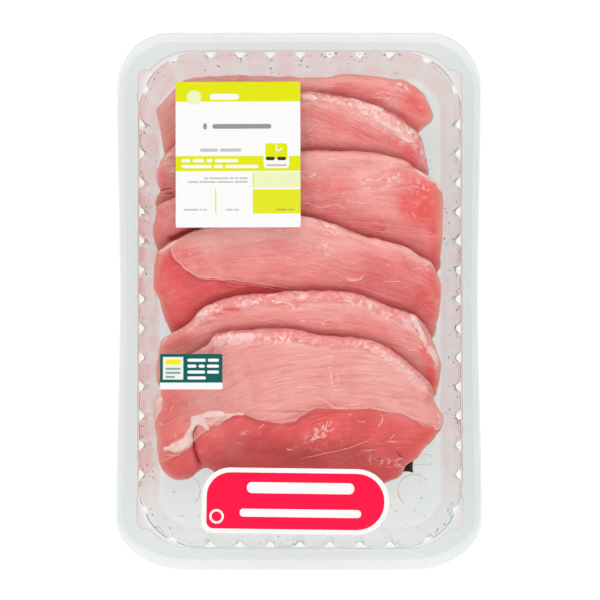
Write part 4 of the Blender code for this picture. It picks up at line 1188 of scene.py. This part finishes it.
def raw_pork():
    """Moist raw pork: colour by muscle, grain, fat and skin, a painted glow on the thin edges, painted
    highlights and painted shade.
    """
    made, nodes, links, shader = new_material("raw_pork")
    attribute, maths, remap, noise_of, blend = shader_tools(nodes, links)

    place = nodes.new("ShaderNodeTexCoord").outputs["Object"]
    grain = attribute("grain")
    streaks = noise_of(grain, 1.0, 4.0, (0.05, 0.5, 0.3), 0.8)
    fine_streaks = noise_of(grain, 1.0, 3.0, (0.2, 2.0, 1.0), 0.5)
    cloud = noise_of(place, 170.0, 4.0, distortion=0.6)
    specks = noise_of(grain, 1.0, 2.0, (0.45, 1.5, 1.0), 0.8)
    wobble = noise_of(place, 330.0, 3.0, distortion=0.5)
    fibres = noise_of(grain, 1.0, 3.0, (0.12, 3.2, 1.0), 0.9)

    def ragged(name, spread, low, high):
        """A value's border, made uneven by noise."""
        moved = maths("ADD", attribute(name), maths("MULTIPLY", maths("SUBTRACT", wobble, 0.5), spread))
        return remap(moved, low, high)

    dark_edge = maths("ADD", attribute("dark"), maths("MULTIPLY", maths("SUBTRACT", wobble, 0.5), 2.0))
    darkness = remap(dark_edge, -0.35, 0.45)
    pale = mottled(nodes, *PALE_FLESH, 60.0, 3.0, 0.4, 0.36, 0.66)
    deep = mottled(nodes, *DARK_FLESH, 60.0, 3.0, 0.4, 0.34, 0.64)
    flesh = blend(darkness, pale, deep)

    def over(mask, strength, colour):
        """Lays a colour over the flesh as far as the mask and the strength say."""
        nonlocal flesh
        flesh = blend(maths("MULTIPLY", mask, strength, clamp=True), flesh, colour)

    # paler flesh, and painted highlights along the far edges
    over(attribute("pale"), 0.8, (0.88, 0.475, 0.43))
    over(attribute("red"), 1.0, (0.80, 0.074, 0.070))
    over(remap(streaks, 0.52, 0.74), 0.40, (0.58, 0.085, 0.085))
    # the dark muscle is more even, with fewer light fibres
    light = maths("SUBTRACT", 1.0, maths("MULTIPLY", darkness, 0.6))
    over(maths("MULTIPLY", light, remap(streaks, 0.46, 0.26)), 0.32, (0.90, 0.47, 0.43))
    over(maths("MULTIPLY", light, remap(fibres, 0.56, 0.72)), 0.22, FIBRE_LIGHT)
    over(remap(fibres, 0.45, 0.30), 0.20, (0.50, 0.06, 0.06))
    over(maths("MULTIPLY", light, remap(cloud, 0.55, 0.75)), 0.22, (0.92, 0.52, 0.48))
    over(remap(specks, 0.70, 0.76), 0.6, (0.93, 0.68, 0.60))
    # painted glow on the rounded edges, as if lit through
    over(attribute("glow"), 0.75, (0.96, 0.42, 0.32))
    # the band of silverskin is dull pink, with torn white patches and darker flesh showing through
    mottle = noise_of(place, 260.0, 4.0, distortion=1.4)
    over(attribute("band"), 1.0, blend(remap(mottle, 0.38, 0.66), *SILVERSKIN))
    over(ragged("skin", 0.9, 0.25, 0.85), 0.72, blend(remap(mottle, 0.38, 0.60), *THIN_SKIN))
    torn = maths("MULTIPLY", attribute("flecks"), remap(mottle, 0.52, 0.60), clamp=True)
    over(torn, 0.7, (0.95, 0.76, 0.70))
    # where pale muscle overlaps dark muscle its edge is a thin white line, partly fat and partly a painted
    # highlight on the step
    overlap = maths("SUBTRACT", 0.42, maths("ABSOLUTE", maths("ADD", dark_edge, 0.35)))
    over(remap(overlap, 0.0, 0.3), 0.5, (0.93, 0.62, 0.55))
    # fat on the white strokes, some of which are painted highlights along the rims
    fat_and_rim_highlight = mottled(nodes, *FAT, 170.0, 4.0, 0.6, 0.4, 0.6)
    over(ragged("white", 0.7, 0.38, 0.60), 1.0, fat_and_rim_highlight)
    # painted shade along the shade strokes and under the next slice's edge
    over(attribute("shade"), 0.92, PAINTED_SHADE)
    # dark red: blood, and painted shade in creases
    over(ragged("blood", 0.5, 0.30, 0.62), 0.85, BLOOD_AND_CREASE_SHADE)
    links.new(flesh, shader.inputs["Base Color"])
    wetness = blend(remap(cloud, 0.4, 0.65), (0.28, 0.28, 0.28), (0.44, 0.44, 0.44))
    links.new(wetness, shader.inputs["Roughness"])
    shader.inputs["Specular IOR Level"].default_value = 0.4
    shader.inputs["Subsurface Weight"].default_value = 0.15
    shader.inputs["Subsurface Radius"].default_value = (1.0, 0.32, 0.22)
    shader.inputs["Subsurface Scale"].default_value = 0.0035
    height = maths("ADD", maths("MULTIPLY", fine_streaks, 0.6), maths("MULTIPLY", cloud, 0.9))
    height = maths("ADD", height, maths("MULTIPLY", streaks, 0.9))
    height = maths("ADD", height, maths("MULTIPLY", maths("MULTIPLY", mottle, attribute("band")), 1.2))
    bump = nodes.new("ShaderNodeBump")
    bump.inputs["Strength"].default_value = 0.6
    bump.inputs["Distance"].default_value = 0.0008
    links.new(height, bump.inputs["Height"])
    links.new(bump.outputs["Normal"], shader.inputs["Normal"])
    return made


def pale_sinew():
    """Strands of fat and sinew: creamy pink, a little see-through and wet."""
    made, nodes, links, shader = new_material("pale_sinew")
    tone = mottled(nodes, *SINEW, 420.0, 3.0, 0.0, 0.4, 0.62)
    links.new(tone, shader.inputs["Base Color"])
    shader.inputs["Roughness"].default_value = 0.35
    shader.inputs["Subsurface Weight"].default_value = 0.2
    shader.inputs["Subsurface Scale"].default_value = 0.002
    return made


def strand_mesh(number, facts, surface):
    """Strands laid on a slice's upper face, half sunk in it, with a scatter of short ones along the grain."""
    rng = random.Random(number)
    strands = list(facts["strands"])
    ys = [y for x, y in facts["outline"]]
    middle_y = (max(ys) + min(ys)) / 2
    for _ in range(SHORT_STRANDS):
        x, y = rng.uniform(-62, 62), rng.uniform(middle_y - 10, max(ys) - 9)
        turn = math.radians(facts["grain"] + rng.uniform(-25, 25))
        long = rng.uniform(0.4, 1.7)
        dx, dy = long * math.cos(turn), long * math.sin(turn)
        bowed = y + rng.uniform(-0.4, 0.4)
        strands.append((((x - dx, y - dy), (x, bowed), (x + dx, y + dy)), rng.uniform(0.06, 0.11)))
    bm = bmesh.new()
    for line, radius in strands:
        line = np.array(line, float)
        gaps = np.concatenate([[0], np.cumsum(np.linalg.norm(np.diff(line, axis=0), axis=1))])
        wanted = np.linspace(0, gaps[-1], max(5, int(gaps[-1] / 0.7)))
        # each point moves towards its neighbours, which rounds the corners
        path = np.stack([np.interp(wanted, gaps, line[:, k]) for k in (0, 1)], axis=1)
        path[1:-1] = (path[:-2] + 2 * path[1:-1] + path[2:]) / 4
        path += np.array([[rng.uniform(-0.12, 0.12), rng.uniform(-0.12, 0.12)] for _ in path])
        rows = []
        for i, (x, y) in enumerate(path):
            hit, normal, _, _ = surface.ray_cast(Vector((x * MM, y * MM, 0.1)), Vector((0, 0, -1)))
            if hit is None:
                rows = []
                break
            before, after = path[max(i - 1, 0)], path[min(i + 1, len(path) - 1)]
            ahead = Vector((*(after - before), 0.0)).normalized()
            side = ahead.cross(normal).normalized()
            full = radius * MM * (0.35 + 0.65 * math.sin(math.pi * (i + 0.3) / (len(path) - 0.4)) ** 0.6)
            full *= rng.uniform(0.75, 1.15)
            rows.append([bm.verts.new(hit + side * math.cos(a) * full
                                      + normal * (math.sin(a) * full * 0.7 - full * 0.15))
                         for a in (math.tau * k / 6 for k in range(6))])
        if rows:
            join_rows(bm, rows)
    return finished_mesh(f"sinew_{number}", bm)


pork, sinew = raw_pork(), pale_sinew()
for slice_number, slice_facts in enumerate(SLICES, start=1):
    meat = placed(f"pork_{slice_number}", slice_mesh(slice_number, slice_facts), pork)
    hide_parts(f"pork_slice_{slice_number}")
    faces = [tuple(face.vertices) for face in meat.data.polygons]
    lying_on = BVHTree.FromPolygons([vertex.co for vertex in meat.data.vertices], faces)
    strands = strand_mesh(slice_number, slice_facts, lying_on)
    placed(f"sinew_{slice_number}", strands, sinew)

# Lid film
# Thin clear film, heat-sealed all round on the flange and drawn tight over the meat, with faint waves.
FILM_SIDE_INSET = 1.4 * MM
FILM_END_INSET = 5.2 * MM
FILM_SHEET = 0.08 * MM
FILM_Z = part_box("film")[0].z + 0.16 * MM


def film_mesh():
    """Rings that close in on the film's middle line, flat on the flange and rippled over the meat."""
    columns = wall_columns(coarse=True)
    outline = [Vector(flange_point(c, FILM_SIDE_INSET, FILM_END_INSET)) for c in columns]
    middle_y = HALF_LENGTH - HALF_WIDTH
    rings = []
    shares = [0.0, 0.004, 0.02, 0.05, 0.09] + [0.13 + 0.85 * k / 24 for k in range(25)]
    for share in shares:
        ring = []
        for point in outline:
            target = Vector((0.0, max(-middle_y, min(middle_y, point.y))))
            x, y = point.lerp(target, share)
            tension = smooth_step(0.10, 0.25, share)
            ripple = noise.noise(Vector((x / (34 * MM), y / (46 * MM), 3.1)))
            z = FILM_Z + tension * (0.10 * MM * ripple)
            ring.append((x, y, z))
        rings.append(ring)
    return rings_mesh("lid_film", rings)


film_plastic = clear_sheet("clear_film", (0.965, 0.972, 0.968), 0.02, 1.36, 0.12, 30 * MM)
film = placed("lid_film", film_mesh(), film_plastic)
film_sheet = film.modifiers.new("sheet", "SOLIDIFY")
film_sheet.thickness = FILM_SHEET
film_sheet.offset = 0.0
film_sheet.use_rim = False
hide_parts("film")

# Labels
# Three self-adhesive paper labels stuck on the film, with bands, fields and bars of printed colour.
LABEL_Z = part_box("label_large")[0].z
PAPER = 0.12 * MM
INK = 0.02 * MM


def paper_fibre():
    """The faint tone and tooth of coated paper, under ink too."""
    group, given, result = new_group("paper_fibre", (("Dark Tone", "Color"), ("Light Tone", "Color")),
                                     (("Tone", "Color"), ("Normal", "Vector")))
    place = group.nodes.new("ShaderNodeTexCoord")
    fibre = group.nodes.new("ShaderNodeTexNoise")
    fibre.inputs["Scale"].default_value = 900.0
    fibre.inputs["Detail"].default_value = 4.0
    group.links.new(place.outputs["Object"], fibre.inputs["Vector"])
    tone = group.nodes.new("ShaderNodeMix")
    tone.data_type = "RGBA"
    group.links.new(fibre.outputs["Fac"], tone.inputs["Factor"])
    group.links.new(given["Dark Tone"], tone.inputs[6])
    group.links.new(given["Light Tone"], tone.inputs[7])
    group.links.new(tone.outputs[2], result["Tone"])
    bump = group.nodes.new("ShaderNodeBump")
    bump.inputs["Strength"].default_value = 0.15
    bump.inputs["Distance"].default_value = 0.00005
    group.links.new(fibre.outputs["Fac"], bump.inputs["Height"])
    group.links.new(bump.outputs["Normal"], result["Normal"])
    return group


FIBRE = paper_fibre()


def label_material(name, colour):
    """Coated paper, or ink on it."""
    made, nodes, links, shader = new_material(name)
    shader.inputs["Roughness"].default_value = 0.42
    shader.inputs["Specular IOR Level"].default_value = 0.1
    fibre = place_group(nodes, FIBRE, {
        "Dark Tone": (*(c * 0.96 for c in colour), 1.0),
        "Light Tone": (*(min(1.0, c * 1.02 + 0.003) for c in colour), 1.0)})
    links.new(fibre["Tone"], shader.inputs["Base Color"])
    links.new(fibre["Normal"], shader.inputs["Normal"])
    return made


INKS = {name: label_material(f"ink_{name}", colour) for name, colour in (
    ("lime", (0.63, 0.655, 0)), ("pale_lime", (0.69, 0.735, 0.42)), ("mid_lime", (0.635, 0.655, 0.012)),
    ("grey", (0.275, 0.241, 0.241)), ("light_grey", (0.473, 0.456, 0.447)), ("olive", (0.361, 0.361, 0.086)),
    ("black", (0.026, 0.026, 0.017)), ("teal", (0.0, 0.097, 0.086)), ("yellow", (0.774, 0.688, 0)),
    ("sage", (0.189, 0.31, 0.292)), ("panel", (0.725, 0.715, 0.64)), ("red", (0.85, 0, 0.045)))}
INKS["white"] = label_material("label_white", (0.77, 0.77, 0.762))


def rounded_box(x0, x1, y0, y1, radii, steps=8):
    """Outline of a box in millimetres; radii are its bottom left, bottom right, top right, top left."""
    outline = []
    corners = ((x0, y0, 180, 1, 1), (x1, y0, 270, -1, 1), (x1, y1, 0, -1, -1), (x0, y1, 90, 1, -1))
    for (x, y, start, sx, sy), radius in zip(corners, radii):
        for step in range(steps + 1 if radius > 0 else 1):
            angle = math.radians(start + 90 * step / steps)
            outline.append((x + (sx + math.cos(angle)) * radius, y + (sy + math.sin(angle)) * radius))
    return outline


def disc(x, y, radius, steps=40):
    return [(x + radius * math.cos(math.tau * k / steps), y + radius * math.sin(math.tau * k / steps))
            for k in range(steps)]


def flat_pieces(name, outlines, low, high, centre, turn, ink):
    """Thin closed plates of one colour, placed about a label's centre and turned with it."""
    bm = bmesh.new()
    c, s = math.cos(math.radians(turn)), math.sin(math.radians(turn))
    for outline in outlines:
        join_rows(bm, [[bm.verts.new(((centre[0] + x * c - y * s) * MM, (centre[1] + x * s + y * c) * MM, z))
                        for x, y in outline] for z in (low, high)])
    return placed(name, finished_mesh(name, bm, smooth=False), INKS[ink])


def bar(x, y, width, height):
    return rounded_box(x, x + width, y - height / 2, y + height / 2, (min(width, height) * 0.45,) * 4, 4)


def make_label(node, outline, centre, turn, paper, prints):
    """The label's paper, then its printed fields, each a hair above the last."""
    base = flat_pieces(node + "_paper", [outline], LABEL_Z, LABEL_Z + PAPER, centre, turn, paper)
    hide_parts(node)
    for level, (ink, outlines) in enumerate(prints):
        low = LABEL_Z + PAPER + 0.002 * MM + level * 0.003 * MM
        piece = flat_pieces(f"{node}_print_{level}_{ink}", outlines, low, low + INK, centre, turn, ink)


def row_of_words(x0, x1, y, height, lengths):
    """Bars of the given relative lengths, spread over one line of print."""
    gap = height * 0.7
    unit = (x1 - x0 - gap * (len(lengths) - 1)) / sum(lengths)
    bars = []
    x = x0
    for length in lengths:
        bars.append(bar(x, y, unit * length, height))
        x += unit * length + gap
    return bars


SQUARE = (0, 0, 0, 0)
half_x, half_y = 61.4 / 2, 71.8 / 2
large = rounded_box(-half_x, half_x, -half_y, half_y, (0.9,) * 4)
make_label("label_large", large, (-30.0, 71.6), 0.15, "white", (
    ("lime", [rounded_box(-half_x, half_x, 26.2, half_y, (0, 0, 0.9, 0.9)),
              rounded_box(-half_x, half_x, -8.1, -0.7, SQUARE)]),
    ("white", [rounded_box(12.6, 25.1, -6.7, 6.2, (1.5,) * 4), bar(-13.8, 28.5, 14.2, 2.9)]),
    ("pale_lime", [disc(-21.6, 28.2, 3.6)]),
    ("lime", [rounded_box(13.4, 24.3, -2.3, 5.5, (0, 0, 1.2, 1.2))]),
    ("pale_lime", [rounded_box(7.2, half_x, -16.4, -8.8, SQUARE)]),
    ("mid_lime", [rounded_box(7.2, half_x, -29.1, -17.2, SQUARE),
                  rounded_box(-11.3, -10.7, -29.1, -17.2, SQUARE),
                  rounded_box(7.2, 7.7, -16.4, -8.8, SQUARE)]),
    ("white", row_of_words(-27.8, 0.1, -3.0, 1.6, (3, 4, 2, 8))
     + row_of_words(-27.8, 10.1, -5.9, 1.6, (10, 3, 11))
     + [rounded_box(18.5, 19.1, 1.4, 5.0, SQUARE), [(18.5, 1.4), (18.8, 0.9), (22.2, 2.9), (21.9, 3.4)]]),
    ("grey", [bar(-17.1, 13.9, 1.8, 3.0), bar(-12.6, 13.9, 29.0, 2.3)]),
    ("black", row_of_words(13.7, 23.6, -2.0, 1.7, (4, 4))),
    ("light_grey", row_of_words(-18.7, 1.6, 2.2, 1.5, (5, 6))
     + row_of_words(-16.7, 4.7, -11.7, 0.8, (1, 5, 1, 1, 2))
     + row_of_words(-24.5, 4.7, -13.5, 0.8, (3, 5, 5, 4))
     + row_of_words(-26.8, -15.4, -27.2, 0.8, (6, 1, 1.4))
     + row_of_words(-6.2, 0.5, -27.2, 0.8, (4, 3)) + row_of_words(14.0, 24.0, -5.3, 1.1, (7,))),
    ("olive", row_of_words(18.7, 27.7, -27.2, 0.8, (5, 3))),
))

make_label("label_small", rounded_box(-15.35, 15.35, -8.7, 8.7, (0.6,) * 4), (-52.9, -35.2), 0.0, "white", (
    ("teal", [rounded_box(-15.35, 15.35, -5.4, 8.7, (0, 0, 0.6, 0.6))]),
    ("panel", [rounded_box(-13.9, -3.9, -3.9, 7.2, SQUARE)]),
    ("yellow", [rounded_box(-12.6, -5.2, 3.5, 5.9, SQUARE)]),
    ("white", row_of_words(-1.9, 13.6, 5.6, 1.5, (5, 3)) + row_of_words(-1.9, 13.6, 2.7, 1.5, (3, 2, 4))
     + row_of_words(-1.9, 13.6, -0.2, 1.5, (6, 4)) + row_of_words(-1.9, 7.2, -3.1, 1.5, (4,))),
    ("sage", [bar(-12.6, 1.4, 7.4, 1.0), bar(-12.6, -0.6, 7.4, 1.0), bar(-12.6, -2.6, 4.6, 1.0)]),
))

offer = rounded_box(-45.95, 45.95, -16.1, 16.1, (5.5, 15.8, 15.8, 14))
make_label("label_offer", offer, (-1.7, -98.7), -0.75, "white", (
    ("red", [rounded_box(-43.6, 43.6, -13.8, 13.8, (3.4, 13.6, 13.6, 11.8))]),
    ("white", [disc(-38.6, -7.9, 3.55), bar(-23.9, 6.4, 52.6, 5.4), bar(-27.3, -5.9, 59.5, 3.9)]),
    ("red", [disc(-38.6, -7.9, 2.45)]),
))

# Table, lamps and camera
# A plain white table under soft light from all round, with a darker gap where the camera hangs, seen from
# almost straight above.
TABLE_REACH = 2.5
TABLE_Z = -0.5 * MM
stage = bpy.data.meshes.new("white_table")
corners = [(x * TABLE_REACH, y * TABLE_REACH, TABLE_Z) for x, y in ((-1, -1), (1, -1), (1, 1), (-1, 1))]
stage.from_pydata(corners, [], [(0, 1, 2, 3)])
table = bpy.data.objects.new("white_table", stage)
bpy.context.scene.collection.objects.link(table)
table_paint, _, _, table_shader = new_material("white_table")
table_shader.inputs["Base Color"].default_value = (0.35, 0.35, 0.35, 1)
table_shader.inputs["Roughness"].default_value = 0.9
table_shader.inputs["Emission Color"].default_value = (1.0, 1.0, 1.0, 1)
table_shader.inputs["Emission Strength"].default_value = 0.85
stage.materials.append(table_paint)

world = bpy.data.worlds.new("soft_room")
world.use_nodes = True
room = world.node_tree
sky = room.nodes["Background"]
direction = room.nodes.new("ShaderNodeTexCoord")
height = room.nodes.new("ShaderNodeSeparateXYZ")
shade = room.nodes.new("ShaderNodeValToRGB")
room.links.new(direction.outputs["Generated"], height.inputs["Vector"])
room.links.new(height.outputs["Z"], shade.inputs["Fac"])
shade.color_ramp.elements[0].position = 0.0
shade.color_ramp.elements[0].color = (0.9, 0.9, 0.9, 1)
shade.color_ramp.elements[1].position = 0.75
shade.color_ramp.elements[1].color = (1, 1, 1, 1)
for position, level in ((0.955, 1.0), (0.975, 0.25)):
    stop = shade.color_ramp.elements.new(position)
    stop.color = (level, level, level, 1)
room.links.new(shade.outputs["Color"], sky.inputs["Color"])
sky.inputs["Strength"].default_value = 0.58
bpy.context.scene.world = world


def lamp(name, place, width, height, power):
    data = bpy.data.lights.new(name, "AREA")
    data.shape = "RECTANGLE"
    data.size = width
    data.size_y = height
    data.energy = power
    made = bpy.data.objects.new(name, data)
    made.location = place
    made.rotation_euler = (-Vector(place)).to_track_quat("-Z", "Y").to_euler()
    bpy.context.scene.collection.objects.link(made)


lamp("softbox_near", (0.05, -0.42, 1.12), 1.0, 0.38, 5.6)
lamp("softbox_far", (-0.05, 0.6, 1.1), 1.0, 0.4, 4.3)
lamp("softbox_left", (-0.9, 0.1, 0.8), 0.8, 0.8, 1.75)
lamp("softbox_right", (0.9, 0.1, 0.8), 0.8, 0.8, 1.75)
bpy.context.scene.view_settings.view_transform = "Standard"

PHOTO_SPAN = 295.1 * MM             # what the square photo takes in, at the height of the rim
CAMERA_RISE = 1100.0 * MM
CAMERA_Y = -30.0 * MM
camera = bpy.data.objects.new("camera", bpy.data.cameras.new("camera"))
bpy.context.scene.collection.objects.link(camera)
camera.location = (0.5 * MM, CAMERA_Y, RIM_Z + CAMERA_RISE)
aim = Vector((0.5 * MM, 0.0, RIM_Z)) - camera.location
camera.rotation_euler = aim.to_track_quat("-Z", "Y").to_euler()
camera.data.sensor_width = 36.0
camera.data.lens = 36.0 * aim.length / PHOTO_SPAN
camera.data.clip_start = 0.05
bpy.context.scene.camera = camera
